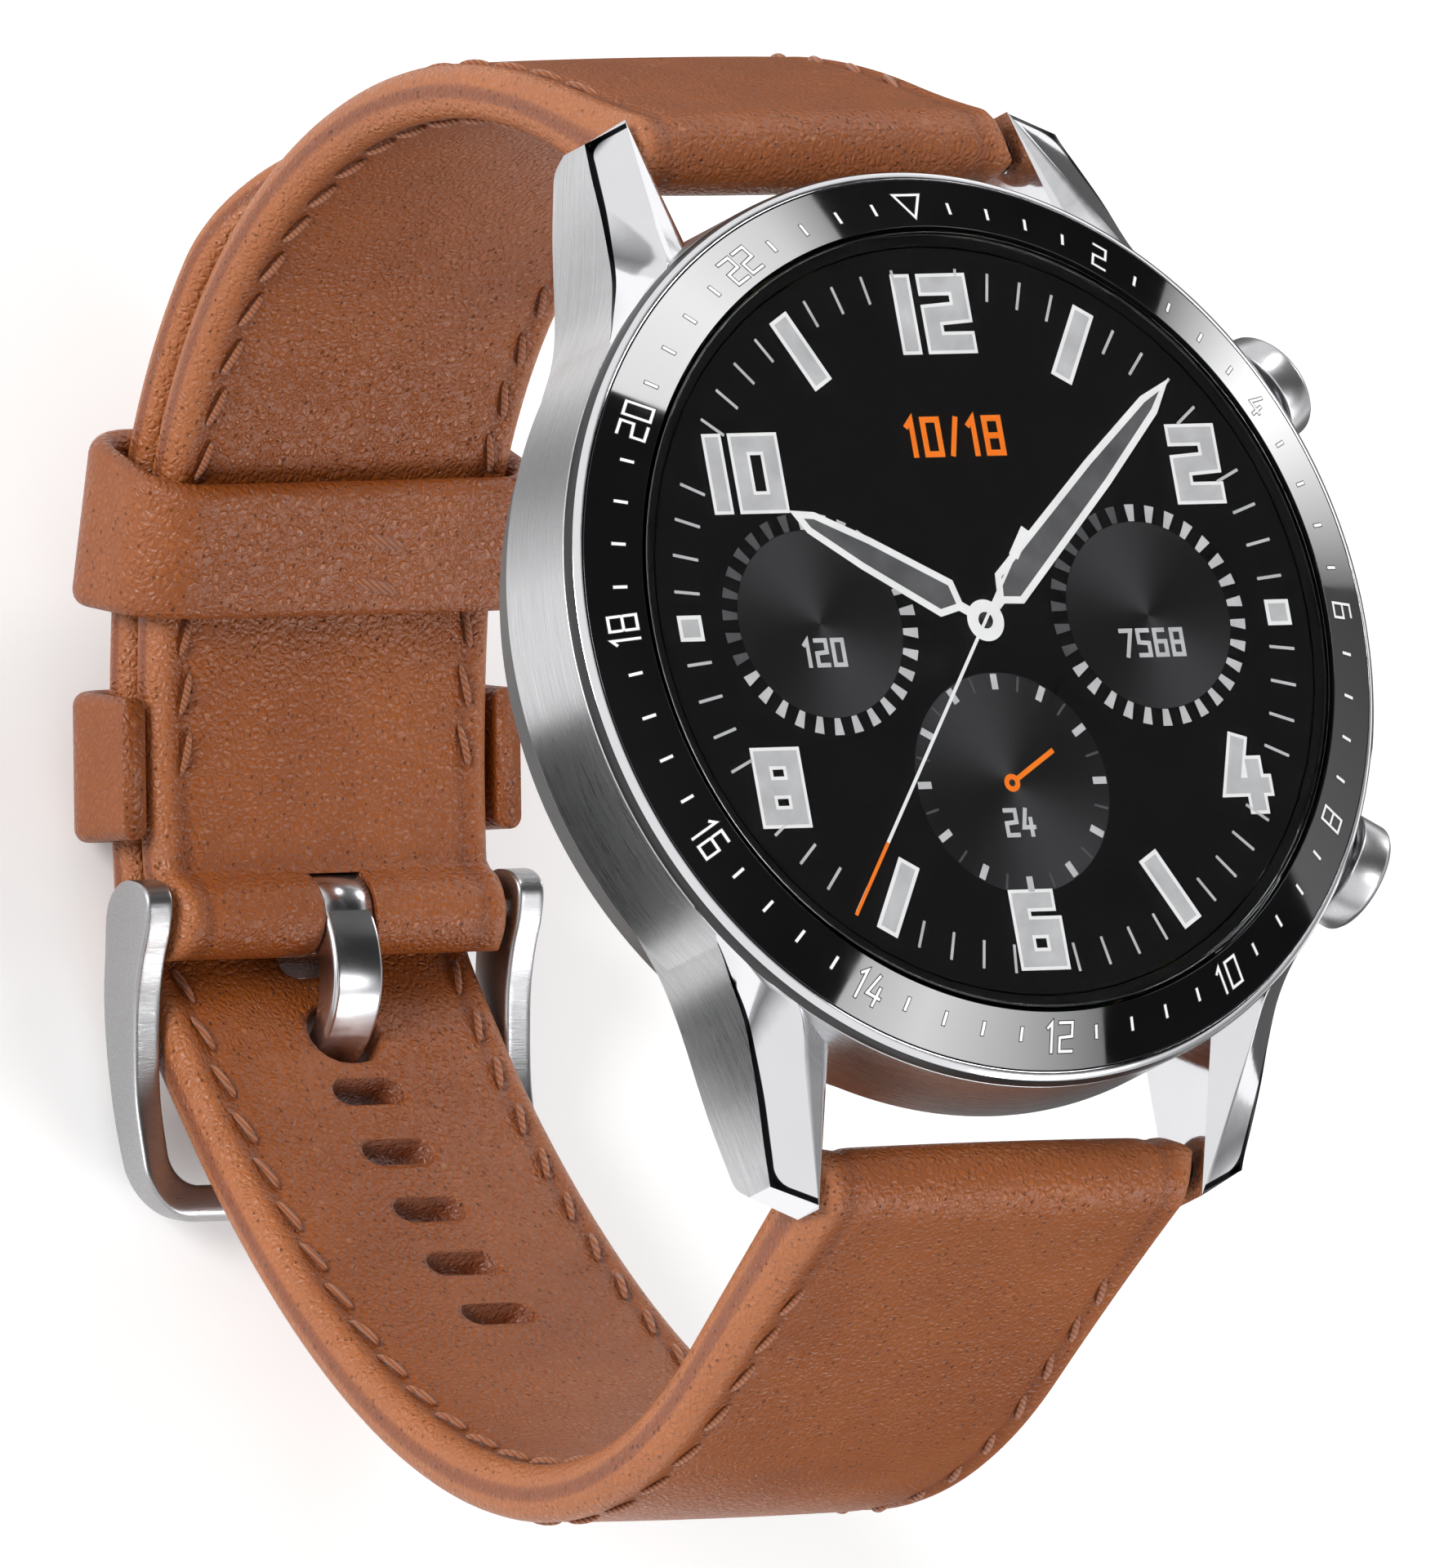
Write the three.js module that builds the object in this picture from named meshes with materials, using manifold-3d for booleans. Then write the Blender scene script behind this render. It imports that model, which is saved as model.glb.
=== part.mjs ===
// A round smartwatch on a two-piece leather strap, buckled as it would be on a wrist.
// Millimetres. X points to 3 o'clock, Y to 12 o'clock and Z out of the dial.
// The origin is the centre of the sensor window's face, under the case.

import * as THREE from "three";
import { mergeVertices } from "three/addons/utils/BufferGeometryUtils.js";
import Module from "manifold-3d";

const wasm = await Module();
wasm.setup();

const degree = Math.PI / 180;

// Sides of the round shapes, and the reach of a cut past the face that it opens
const ringSides = 60;
const discSides = 32;
const buttonSides = 20;
const smallSides = 12;
const arcSides = 5;
const overrun = 1;
const weldDistance = 1e-4;
const sharpBevel = 1e-3;

// Clearances
const seatGap = 0.05;
const fitGap = 0.1;
const runGap = 0.15;
const looseGap = 0.3;
const leatherGap = 0.35;

// Case: a steel ring with a flange and a neck at its top
const caseRadius = 23.1;
const caseWall = 2;
const caseWallHeight = 5.3;
const flangeThickness = 0.5;
const guardRise = 0.3;
const guardAngle = 22 * degree;

// Glass, its seal and the display bonded under it
const glassBorder = 3.5;
const glassThickness = 0.6;
const glassBevel = 0.15;
const glassOverhang = 0.65;
const sealWidth = 0.55;
const sealThickness = 0.3;
const displayThickness = 1.05;

// Bezel ring, sloping down from the glass to the rim that carries it
const bezelGap = 0.23;
const bezelRise = 1.1;
const rimWidth = 0.45;
const rimSlopeHeight = 0.29;
const rimChamferWidth = 0.15;
const rimChamferHeight = 0.61;
const rimFloorThickness = 0.35;
const neckThickness = 1.15;

// Case back, its spigot and the gasket round the spigot
const backHeight = 2.9;
const backLedge = 0.6;
const backTaper = 0.8;
const floorThickness = 1.1;
const spigotRise = 0.5;
const spigotWall = 0.75;
const gasketWidth = 0.55;
const gasketHeight = 0.5;

// Sensor window, sensor board and charging coil
const windowShare = 13 / 33;
const windowDrop = 0.5;
const windowBevel = 0.6;
const windowFlange = 1;
const windowFlangeThickness = 0.45;
const sensorBoardMargin = 0.7;
const sensorBoardThickness = 0.7;
const coilInnerMargin = 0.9;
const coilOuterMargin = 0.4;
const coilThickness = 0.7;

// Main board, the frame under it and the pieces that the frame holds
const boardMargin = 1.5;
const boardThickness = 0.8;
const frameThickness = 0.6;
const frameWallThickness = 1;
const batteryMargin = 7.6;
const batteryHeight = 3.3;
const speakerDepth = 4.6;
const speakerWidth = 9.6;
const speakerHeight = 2.3;
const motorRadius = 2.7;
const motorHeight = 2.3;

// Back screws, up through pillars of the back into bosses of the case
const backScrewMargin = 2.5;
const backScrewCount = 4;
const backScrewTurn = 45 * degree;
const backScrewRadius = 0.5;
const backScrewHeadRadius = 1;
const backScrewHeadHeight = 0.7;
const backScrewGrip = 2.4;
const bossShare = 2 / 33;

// Frame screws, down through the board into studs of the frame
const frameScrewMargin = 4.5;
const frameScrewCount = 3;
const frameScrewRadius = 0.45;
const frameScrewHeadRadius = 0.9;
const frameScrewHeadHeight = 0.45;
const frameScrewLength = 2;
const studRadius = 1.1;
const studHeight = 1.9;

// Buttons: cap, neck, stem with a clip, and the switch behind
const buttonAngle = 30 * degree;
const buttonDrop = 2.3;
const capRadius = 2.8;
const capThickness = 1.8;
const capBevel = 0.3;
const capStandOff = 0.4;
const capRecess = 0.6;
const capLip = 0.7;
const neckRadius = 1.5;
const stemRadius = 0.9;
const seatDepth = 1.2;
const buttonSealThickness = 0.45;
const grooveDepth = 0.2;
const grooveWidth = 0.35;
const clipRadius = 1.7;
const clipThickness = 0.25;
const buttonTravel = 0.35;
const switchDepth = 1.5;
const switchWidth = 3.2;
const switchHeight = 1.5;
const switchBayShare = 2 / 21;

// Lugs: plan places of the tip, and drops below the top of the case
const lugOpening = 22.4;
const lugReach = 4.4;
const lugTipWidth = 2.6;
const lugTipSlant = 1.2;
const lugTipDrop = 5;
const lugFootDrop = 2.5;
const lugRootAngle = 35.8 * degree;
const lugApexAngle = 53.6 * degree;
const facetDrop = 1.8;
// Along each lug: how far its side has come from root to tip in Y and X, how far its side edge has dropped,
// how far its crest has gone along the rim, then along the ridge, and how far its foot has dropped
const lugShares = [
  { y: 0, x: 0, drop: 0, rim: 0.005, ridge: 0, foot: 0 },
  { y: 0.133, x: 0.276, drop: 0.12, rim: 0.19, ridge: 0, foot: 0.32 },
  { y: 0.258, x: 0.49, drop: 0.32, rim: 0.43, ridge: 0, foot: 0.64 },
  { y: 0.398, x: 0.633, drop: 0.42, rim: 0.71, ridge: 0, foot: 0.84 },
  { y: 0.547, x: 0.735, drop: 0.55, rim: 1, ridge: 0, foot: 0.96 },
  { y: 0.695, x: 0.816, drop: 0.68, rim: 1, ridge: 0.33, foot: 1 },
  { y: 0.852, x: 0.908, drop: 0.85, rim: 1, ridge: 0.63, foot: 1 },
  { y: 0.945, x: 0.97, drop: 0.95, rim: 1, ridge: 0.88, foot: 0.98 },
  { y: 1, x: 1, drop: 1, rim: 1, ridge: 0.98, foot: 0.66 },
];

// Spring bars between the lugs: a tube, two pins and the spring between them
const barSetBack = 1.8;
const barDrop = 1.3;
const tubeRadius = 0.9;
const tubeWall = 0.2;
const tubeEndWall = 0.6;
const pinRadius = 0.4;
const pinReach = 1;
const pinCollar = 0.15;
const pinCollarLength = 0.6;
const springThickness = 0.25;

// Strap: the folds at the lugs, and the widths and thicknesses
const foldRadius = 2.1;
const foldSetBack = 0.5;
const strapTaper = 1.05;
const strapBevel = 0.7;
const upperPadLength = 14;
const upperThickness = 2.85;
const upperEndThickness = 2.4;
const lowerPadLength = 24;
const lowerThickness = 3;
const tailThickness = 2.4;
const tailTipLength = 9;
const tailTipShare = 0.96;
const stationStep = 2.7;

// Path of the upper strap's inner face, from its fold at the lugs to the buckle's bar
const upperHeading = -53.5 * degree;
const upperStraight = 5.77;
const upperBendRun = 50.4;
const upperBendTurn = -104.6 * degree;
const upperEndRun = 14.45;
const upperEndTurn = -10.7 * degree;

// Path of the lower strap's inner face: straight, a bend to the prong, then round the bar into the tail
const lowerHeading = -116.6 * degree;
const lowerStraight = 13.67;
const bendStartShare = 0.414;
const bendEndShare = 0.421;
const prongAlong = 5.74;
const prongAside = -0.46;
const prongTurn = -31.2 * degree;
const roundHandleShare = 0.5;
const roundReach = 3;
const tailLength = 36;

// Holes of the lower strap, stadium shaped; the prong stretches the hole that it stands in
const holePitch = 3.925;
const holeWidth = 4.15;
const holeLength = 1.7;
const holesBefore = 5;
const holesAfter = 2;
const prongHoleLength = 3.4;
const prongHoleShift = 0.6;

// Buckle: the frame with its two cheeks and far bar, the hinge bar and the tongue
const buckleLength = 15;
const cheekThickness = 1.55;
const farBarWidth = 1.8;
const outerCorner = 3;
const innerCorner = 1.6;
const hingeBarRadius = 0.6;
const hingeBarInset = 0.75;
const tongueWidth = 2.9;
const tongueKnuckle = 1.95;
const tongueRestDepth = 0.95;
const tongueBevelShare = 0.25;
// Outline of a cheek from the side, along and across the buckle, as shares of its length
const cheekShares = [
  [-0.06, -0.12], [0.043, -0.098], [0.134, -0.053], [0.25, -0.012], [0.367, 0.009], [0.6, 0.028],
  [0.88, -0.007], [0.98, 0], [1, 0.03], [0.98, 0.08], [0.893, 0.113], [0.667, 0.171], [0.45, 0.195],
  [0.254, 0.192], [0.1, 0.167], [-0.06, 0.13], [-0.12, 0.06], [-0.13, -0.02], [-0.105, -0.09],
];
// Middle line of the tongue and its thickness, as shares of the buckle's length
const tongueShares = [
  [0.02, -0.067, 0.133], [0.113, -0.103, 0.123], [0.213, -0.112, 0.117], [0.303, -0.09, 0.107],
  [0.383, -0.043, 0.093], [0.45, 0.023, 0.087], [0.513, 0.083, 0.083], [0.593, 0.117, 0.08],
  [0.733, 0.123, 0.077], [0.867, 0.113, 0.073], [0.973, 0.1, 0.067],
];

// Keepers: leather loops, the free one all round both straps, the fixed one sewn to the upper strap's edges
const keeperThickness = 1.35;
const keeperBevel = 0.4;
const freeKeeperStart = 48.6;
const freeKeeperLength = 7.1;
const fixedKeeperStart = 59.7;
const fixedKeeperLength = 7;
const keeperSideGap = 0.45;
const keeperSteps = 4;

// Heights, from the case back's lowest face up
const backBottomZ = windowDrop;
const caseBottomZ = backBottomZ + backHeight;
const caseTopZ = caseBottomZ + caseWallHeight;
const rimFloorZ = caseTopZ + seatGap;
const rimOuterZ = caseTopZ + rimChamferHeight;
const rimInnerZ = rimOuterZ + rimSlopeHeight;
const bezelBottomZ = rimFloorZ + rimFloorThickness + seatGap;
const glassTopZ = rimInnerZ + bezelRise;
const glassBottomZ = glassTopZ - glassThickness;
const neckTopZ = glassBottomZ - sealThickness - 2 * seatGap;
const displayTopZ = glassBottomZ - seatGap;
const flangeBottomZ = caseTopZ - flangeThickness;
const boardTopZ = flangeBottomZ - 2 * fitGap;
const boardBottomZ = boardTopZ - boardThickness;
const frameTopZ = boardBottomZ - seatGap;
const frameBottomZ = frameTopZ - frameThickness;
const batteryTopZ = frameBottomZ - fitGap;
const batteryBottomZ = batteryTopZ - batteryHeight;
const backTopZ = caseBottomZ - seatGap;
const spigotTopZ = caseBottomZ + spigotRise;
const bossBottomZ = spigotTopZ + fitGap;
const floorTopZ = backBottomZ + floorThickness;
const windowFlangeZ = floorTopZ + seatGap;
const windowTopZ = windowFlangeZ + windowFlangeThickness;
const buttonZ = caseTopZ - buttonDrop;
const barZ = caseBottomZ - barDrop;

// Radii and half widths that follow from the sizes above
const caseInnerRadius = caseRadius - caseWall;
const glassRadius = caseRadius - glassBorder;
const neckInnerRadius = glassRadius - glassOverhang;
const neckOuterRadius = neckInnerRadius + neckThickness;
const rimOuterRadius = caseRadius - rimChamferWidth;
const bezelOuterRadius = rimOuterRadius - rimWidth;
const backTopRadius = caseRadius - backLedge;
const spigotRadius = caseInnerRadius - gasketWidth - 2 * fitGap;
const windowRadius = caseRadius * windowShare;
const windowFlangeRadius = windowRadius + windowFlange;
const backScrewPlace = caseInnerRadius - backScrewMargin;
const bossRadius = caseRadius * bossShare;
const switchBay = caseRadius * switchBayShare;
const frameScrewPlace = caseInnerRadius - frameScrewMargin;
const boardRadius = caseInnerRadius - boardMargin;
const batteryRadius = caseInnerRadius - batteryMargin;
const lugTipY = caseRadius + lugReach;
const barPlaceY = lugTipY - barSetBack;
const lugInnerX = lugOpening / 2;
const foldHalfWidth = lugInnerX - looseGap;
const strapEndHalfWidth = foldHalfWidth - strapTaper;
const cheekInnerX = strapEndHalfWidth + leatherGap;
const cheekOuterX = cheekInnerX + cheekThickness;

// Materials, one per finish
function finish(color, roughness, metalness) {
  return new THREE.MeshStandardMaterial({ color, roughness, metalness });
}
const materials = {
  glass: finish("#0b0d10", 0.05, 0),
  blackGloss: finish("#0a0a0c", 0.15, 0.1),
  blackPlastic: finish("#17181a", 0.55, 0),
  steel: finish("#b9bbbe", 0.3, 1),
  polishedSteel: finish("#d2d4d6", 0.12, 1),
  leather: finish("#96583a", 0.7, 0),
  rubber: finish("#202122", 0.85, 0),
  board: finish("#1e4a33", 0.6, 0),
  copper: finish("#b4683c", 0.4, 1),
  battery: finish("#8f9398", 0.45, 0.6),
};

// Welds a geometry's shared corners, drops triangles without area and turns the faces outward
function weld(geometry) {
  const bare = geometry.clone();
  bare.deleteAttribute("normal");
  bare.deleteAttribute("uv");
  const merged = mergeVertices(bare, weldDistance);
  const corners = merged.index.array;
  const place = merged.attributes.position;
  const point = (corner) => new THREE.Vector3().fromBufferAttribute(place, corner);
  const kept = [];
  let volume = 0;
  for (let first = 0; first < corners.length; first += 3) {
    const [a, b, c] = [corners[first], corners[first + 1], corners[first + 2]];
    if (a !== b && b !== c && c !== a) {
      kept.push([a, b, c]);
      volume += point(a).dot(point(b).cross(point(c)));
    }
  }
  merged.setIndex(kept.flatMap(([a, b, c]) => (volume > 0 ? [a, b, c] : [a, c, b])));
  return merged;
}

// A closed geometry as a solid that can be joined and cut
function solidOf(geometry) {
  const closed = weld(geometry);
  const vertProperties = new Float32Array(closed.attributes.position.array);
  const triVerts = new Uint32Array(closed.index.array);
  return new wasm.Manifold(new wasm.Mesh({ numProp: 3, vertProperties, triVerts }));
}

// A solid's surface as a geometry
function geometryOf(solid) {
  const mesh = solid.getMesh();
  const geometry = new THREE.BufferGeometry();
  geometry.setAttribute("position", new THREE.BufferAttribute(new Float32Array(mesh.vertProperties), 3));
  geometry.setIndex([...mesh.triVerts]);
  return geometry;
}

// The first geometry, joined with some and cut by others
function carve(base, { add = [], cut = [] }) {
  const joined = add.reduce((solid, extra) => solid.add(solidOf(extra)), solidOf(base));
  return geometryOf(cut.reduce((solid, tool) => solid.subtract(solidOf(tool)), joined));
}

// A round piece about Z, from a profile of [radius, height] that starts and ends on the axis or closes itself
function turned(profile, sides) {
  const points = profile.map(([radius, height]) => new THREE.Vector2(radius, height));
  return new THREE.LatheGeometry(points, sides).rotateX(Math.PI / 2);
}

// A ring of rectangular section about Z
function ring(innerRadius, outerRadius, bottom, top, sides) {
  const profile = [[innerRadius, bottom], [outerRadius, bottom], [outerRadius, top], [innerRadius, top]];
  return turned([...profile, profile[0]], sides);
}

// A disc about Z
function disc(radius, bottom, top, sides) {
  return turned([[0, bottom], [radius, bottom], [radius, top], [0, top]], sides);
}

// A disc about Z moved to a place in plan
function post(radius, bottom, top, x, y) {
  return disc(radius, bottom, top, smallSides).translate(x, y, 0);
}

// A round piece turned about Z, laid along the watch's X axis
function alongX(geometry) {
  return geometry.rotateY(Math.PI / 2);
}

// A round bar along X, between two X places, with its axis at (y, z)
function barX(radius, from, to, y, z, sides = smallSides) {
  return alongX(disc(radius, from, to, sides)).translate(0, y, z);
}

// A block between two corners
function block(low, high) {
  const size = high.map((value, axis) => value - low[axis]);
  const middle = high.map((value, axis) => (value + low[axis]) / 2);
  return new THREE.BoxGeometry(...size).translate(...middle);
}

// A closed body through rings of points; every ring has the same number of points, and its outline is convex
function loft(rings) {
  const count = rings[0].length;
  const last = (rings.length - 1) * count;
  const index = [];
  for (let start = 0; start < last; start += count) {
    for (let side = 0; side < count; side += 1) {
      const a = start + side;
      const b = start + ((side + 1) % count);
      index.push(a, b, b + count, a, b + count, a + count);
    }
  }
  for (let side = 1; side + 1 < count; side += 1) {
    index.push(0, side + 1, side, last, last + side, last + side + 1);
  }
  const geometry = new THREE.BufferGeometry();
  geometry.setFromPoints(rings.flat());
  geometry.setIndex(index);
  return geometry;
}

// A point given in the plane of the strap's path, as a place in space
function inPath(x, place) {
  return new THREE.Vector3(x, place.x, place.y);
}

// A band of leather or metal along a route. Each station has a point and an outward normal in the plane of the
// path, a half width, the two heights along the normal between which the band lies, and the bevel of its edges.
function band(stations) {
  const rings = stations.map(({ point, normal, half, low, high, bevel }) => {
    const section = [
      [-half, low + bevel], [-half, high - bevel], [-half + bevel, high], [half - bevel, high],
      [half, high - bevel], [half, low + bevel], [half - bevel, low], [-half + bevel, low],
    ];
    return section.map(([x, height]) => inPath(x, point.clone().addScaledVector(normal, height)));
  });
  return loft(rings);
}

// The unit vector of a heading in the plane of the path, where x is the watch's Y and y its Z
function direction(heading) {
  return new THREE.Vector2(Math.cos(heading), Math.sin(heading));
}

// The unit vector to the left of a heading, which is outward on the upper strap
function leftOf(heading) {
  return direction(heading + Math.PI / 2);
}

// The unit vector to the right of a heading, which is outward on the lower strap
function rightOf(heading) {
  return direction(heading - Math.PI / 2);
}

// The upper strap's inner face, some distance from its fold: the point and the heading there
const foldPlaceY = barPlaceY + foldSetBack;
const upperStart = new THREE.Vector2(foldPlaceY, barZ).addScaledVector(leftOf(upperHeading), -foldRadius);
const upperLength = upperStraight + upperBendRun + upperEndRun;
function upperAt(distance) {
  const runs = [[upperStraight, 0], [upperBendRun, upperBendTurn], [upperEndRun, upperEndTurn]];
  const point = upperStart.clone();
  let heading = upperHeading;
  let left = distance;
  for (const [run, turn] of runs) {
    const part = Math.min(left, run);
    const halfBend = (turn * part) / run / 2;
    const chord = halfBend === 0 ? part : (part * Math.sin(halfBend)) / halfBend;
    point.addScaledVector(direction(heading + halfBend), chord);
    heading += 2 * halfBend;
    left -= part;
  }
  return { point, heading, normal: leftOf(heading) };
}

// The upper strap's thickness and half width some distance from its fold
function upperThicknessAt(distance) {
  const pad = Math.max(0, 1 - distance / upperPadLength) ** 2;
  const thinning = Math.max(0, distance - upperPadLength) / (upperLength - upperPadLength);
  const base = upperThickness + (upperEndThickness - upperThickness) * thinning;
  return base + (2 * foldRadius - upperThickness) * pad;
}
function upperHalfAt(distance) {
  return foldHalfWidth + (strapEndHalfWidth - foldHalfWidth) * (distance / upperLength);
}

// The buckle's own axes: along it from the hinge bar to the far bar, and across it away from the wrist
const upperEnd = upperAt(upperLength);
const buckleAlong = direction(upperEnd.heading);
const buckleAside = upperEnd.normal;
const hingePlace = upperEnd.point.clone().addScaledVector(buckleAside, upperEndThickness - foldRadius);
function buckleAt(along, aside) {
  return hingePlace.clone().addScaledVector(buckleAlong, along).addScaledVector(buckleAside, aside);
}

// The route of the lower strap's inner face, from its fold to the tip of the tail
const tailStart = upperLength - roundReach;
function tailPoint(distance) {
  const { point, normal } = upperAt(distance);
  return point.addScaledVector(normal, upperThicknessAt(distance) + leatherGap);
}
function lowerRoute() {
  const fold = new THREE.Vector2(-foldPlaceY, barZ);
  const start = fold.addScaledVector(rightOf(lowerHeading), -foldRadius);
  const bendStart = start.clone().addScaledVector(direction(lowerHeading), lowerStraight);
  const prong = buckleAt(prongAlong, prongAside);
  const prongHeading = upperEnd.heading + Math.PI + prongTurn;
  const bendChord = prong.distanceTo(bendStart);
  const bendOut = bendStart.clone().addScaledVector(direction(lowerHeading), bendChord * bendStartShare);
  const bendIn = prong.clone().addScaledVector(direction(prongHeading), -bendChord * bendEndShare);
  const tailHeading = upperAt(tailStart).heading + Math.PI;
  const tailFirst = tailPoint(tailStart);
  const roundChord = tailFirst.distanceTo(prong);
  const roundOut = prong.clone().addScaledVector(direction(prongHeading), roundChord * roundHandleShare);
  const roundIn = tailFirst.clone().addScaledVector(direction(tailHeading), -roundChord * roundHandleShare);
  const tailSteps = Math.ceil(tailLength / stationStep);
  const tail = [];
  for (let step = 0; step <= tailSteps; step += 1) {
    tail.push(tailPoint(tailStart - (tailLength * step) / tailSteps));
  }
  const route = new THREE.CurvePath();
  route.add(new THREE.LineCurve(start, bendStart));
  route.add(new THREE.CubicBezierCurve(bendStart, bendOut, bendIn, prong));
  route.add(new THREE.CubicBezierCurve(prong, roundOut, roundIn, tailFirst));
  route.add(new THREE.SplineCurve(tail));
  return route;
}
const lowerPath = lowerRoute();
const lowerLength = lowerPath.getLength();
const [, prongDistance, tailDistance] = lowerPath.getCurveLengths();
function lowerAt(distance) {
  const share = distance / lowerLength;
  const point = lowerPath.getPointAt(share);
  const heading = lowerPath.getTangentAt(share).angle();
  return { point, heading, normal: rightOf(heading) };
}
function lowerThicknessAt(distance) {
  const pad = Math.max(0, 1 - distance / lowerPadLength) ** 2;
  const toTail = THREE.MathUtils.smoothstep(distance, prongDistance, tailDistance);
  const base = lowerThickness + (tailThickness - lowerThickness) * toTail;
  return base + (2 * foldRadius - lowerThickness) * pad;
}
function lowerHalfAt(distance) {
  const narrowing = Math.min(1, distance / (prongDistance - holePitch));
  const half = foldHalfWidth + (strapEndHalfWidth - foldHalfWidth) * narrowing;
  const tip = Math.max(0, distance - lowerLength + tailTipLength) / tailTipLength;
  return half * Math.sqrt(1 - (tip * tailTipShare) ** 2);
}

// Front

function frontGlass() {
  const profile = [
    [0, glassBottomZ], [glassRadius, glassBottomZ], [glassRadius, glassTopZ - glassBevel],
    [glassRadius - glassBevel, glassTopZ], [0, glassTopZ],
  ];
  return turned(profile, ringSides);
}

function glassSeal() {
  const bottom = neckTopZ + seatGap;
  return ring(neckInnerRadius, neckInnerRadius + sealWidth, bottom, bottom + sealThickness, ringSides);
}

function displayPanel() {
  return disc(neckInnerRadius - fitGap, displayTopZ - displayThickness, displayTopZ, ringSides);
}

function bezelRing() {
  const innerRadius = glassRadius + bezelGap;
  const stepRadius = neckOuterRadius + fitGap;
  const stepZ = neckTopZ + fitGap;
  const profile = [
    [innerRadius, glassTopZ], [innerRadius, stepZ], [stepRadius, stepZ], [stepRadius, bezelBottomZ],
    [bezelOuterRadius, bezelBottomZ], [bezelOuterRadius, rimInnerZ], [innerRadius, glassTopZ],
  ];
  return turned(profile, ringSides);
}

function bezelRim() {
  const innerRadius = neckOuterRadius + fitGap;
  const wallRadius = bezelOuterRadius + seatGap;
  const floorTop = rimFloorZ + rimFloorThickness;
  const profile = [
    [innerRadius, rimFloorZ], [caseRadius, rimFloorZ], [rimOuterRadius, rimOuterZ], [wallRadius, rimInnerZ],
    [wallRadius, floorTop], [innerRadius, floorTop], [innerRadius, rimFloorZ],
  ];
  return turned(profile, ringSides);
}

// Case

function caseRing() {
  const profile = [
    [caseInnerRadius, caseBottomZ], [caseRadius, caseBottomZ], [caseRadius, caseTopZ],
    [neckOuterRadius, caseTopZ], [neckOuterRadius, neckTopZ], [neckInnerRadius, neckTopZ],
    [neckInnerRadius, flangeBottomZ], [caseInnerRadius, flangeBottomZ], [caseInnerRadius, caseBottomZ],
  ];
  return turned(profile, ringSides);
}

// The low swelling of the wall between the buttons, deepest at the top of the case
function buttonGuard() {
  const outline = new THREE.Shape();
  outline.absarc(0, 0, caseRadius + guardRise, -guardAngle, guardAngle, false);
  outline.absarc(0, 0, caseRadius - caseWall / 2, guardAngle, -guardAngle, true);
  const settings = { depth: caseWallHeight, bevelEnabled: false, curveSegments: 2 * arcSides };
  const wedge = new THREE.ExtrudeGeometry(outline, settings).translate(0, 0, caseBottomZ);
  const guardRadius = caseRadius + guardRise;
  const profile = [[0, caseBottomZ], [caseRadius, caseBottomZ], [guardRadius, caseTopZ], [0, caseTopZ]];
  return geometryOf(solidOf(wedge).intersect(solidOf(turned(profile, ringSides))));
}

// One lug, on the side of the case given by two signs
function lug(signX, signY) {
  const rootX = caseRadius * Math.cos(lugRootAngle);
  const rootY = caseRadius * Math.sin(lugRootAngle);
  const tipOuterX = lugInnerX + lugTipWidth;
  const tipOuterY = lugTipY - lugTipSlant;
  const tipTopZ = caseTopZ - lugTipDrop;
  const apexX = caseRadius * Math.cos(lugApexAngle);
  const apexY = caseRadius * Math.sin(lugApexAngle);
  const cornerY = Math.sqrt(caseRadius ** 2 - lugInnerX ** 2);
  const facetSlope = (lugTipDrop - facetDrop) / (lugTipY - cornerY);
  const rings = lugShares.map((share) => {
    const angle = lugRootAngle + (lugApexAngle - lugRootAngle) * share.rim;
    const crestX = caseRadius * Math.cos(angle) + (lugInnerX - apexX) * share.ridge;
    const crestY = caseRadius * Math.sin(angle) + (lugTipY - apexY) * share.ridge;
    const innerY = share.y === 1 ? lugTipY : crestY;
    const sideX = rootX + (tipOuterX - rootX) * share.x;
    const sideY = rootY + (tipOuterY - rootY) * share.y;
    const footZ = caseBottomZ - lugFootDrop * share.foot;
    const innerTopZ = Math.min(caseTopZ, tipTopZ + facetSlope * (lugTipY - innerY));
    return [
      [lugInnerX, innerY, footZ], [sideX, sideY, footZ], [sideX, sideY, caseTopZ - lugTipDrop * share.drop],
      [crestX, crestY, caseTopZ - lugTipDrop * share.ridge], [lugInnerX, innerY, innerTopZ],
    ].map(([x, y, z]) => new THREE.Vector3(signX * x, signY * y, z));
  });
  const tools = [
    disc(caseRadius - caseWall / 2, backBottomZ - overrun, caseTopZ + overrun, ringSides),
    disc(backTopRadius + looseGap, backBottomZ - overrun, caseBottomZ, ringSides),
    barX(pinRadius + runGap, 0, signX * (lugInnerX + pinReach + runGap), signY * barPlaceY, barZ),
  ];
  return carve(loft(rings), { cut: tools });
}

// Plan places of the back screws, and of the bosses over them
function backScrewPlaces() {
  return Array.from({ length: backScrewCount }, (_, index) => {
    const angle = backScrewTurn + (index * 2 * Math.PI) / backScrewCount;
    return { angle, x: backScrewPlace * Math.cos(angle), y: backScrewPlace * Math.sin(angle) };
  });
}

// A boss with a web to the wall, or the room for one when it is made larger by a margin
function bossShapes({ angle, x, y }, bottom, top, margin) {
  const half = bossRadius + margin;
  const web = block([backScrewPlace, -half, bottom], [caseRadius - caseWall / 2, half, top]).rotateZ(angle);
  return [post(half, bottom, top, x, y), web];
}

// A cylinder along a button's axis, between two distances from the middle of the case
function buttonBore(side, radius, from, to) {
  return disc(radius, from, to, smallSides)
    .rotateY(Math.PI / 2)
    .rotateZ(side * buttonAngle)
    .translate(0, 0, buttonZ);
}

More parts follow.
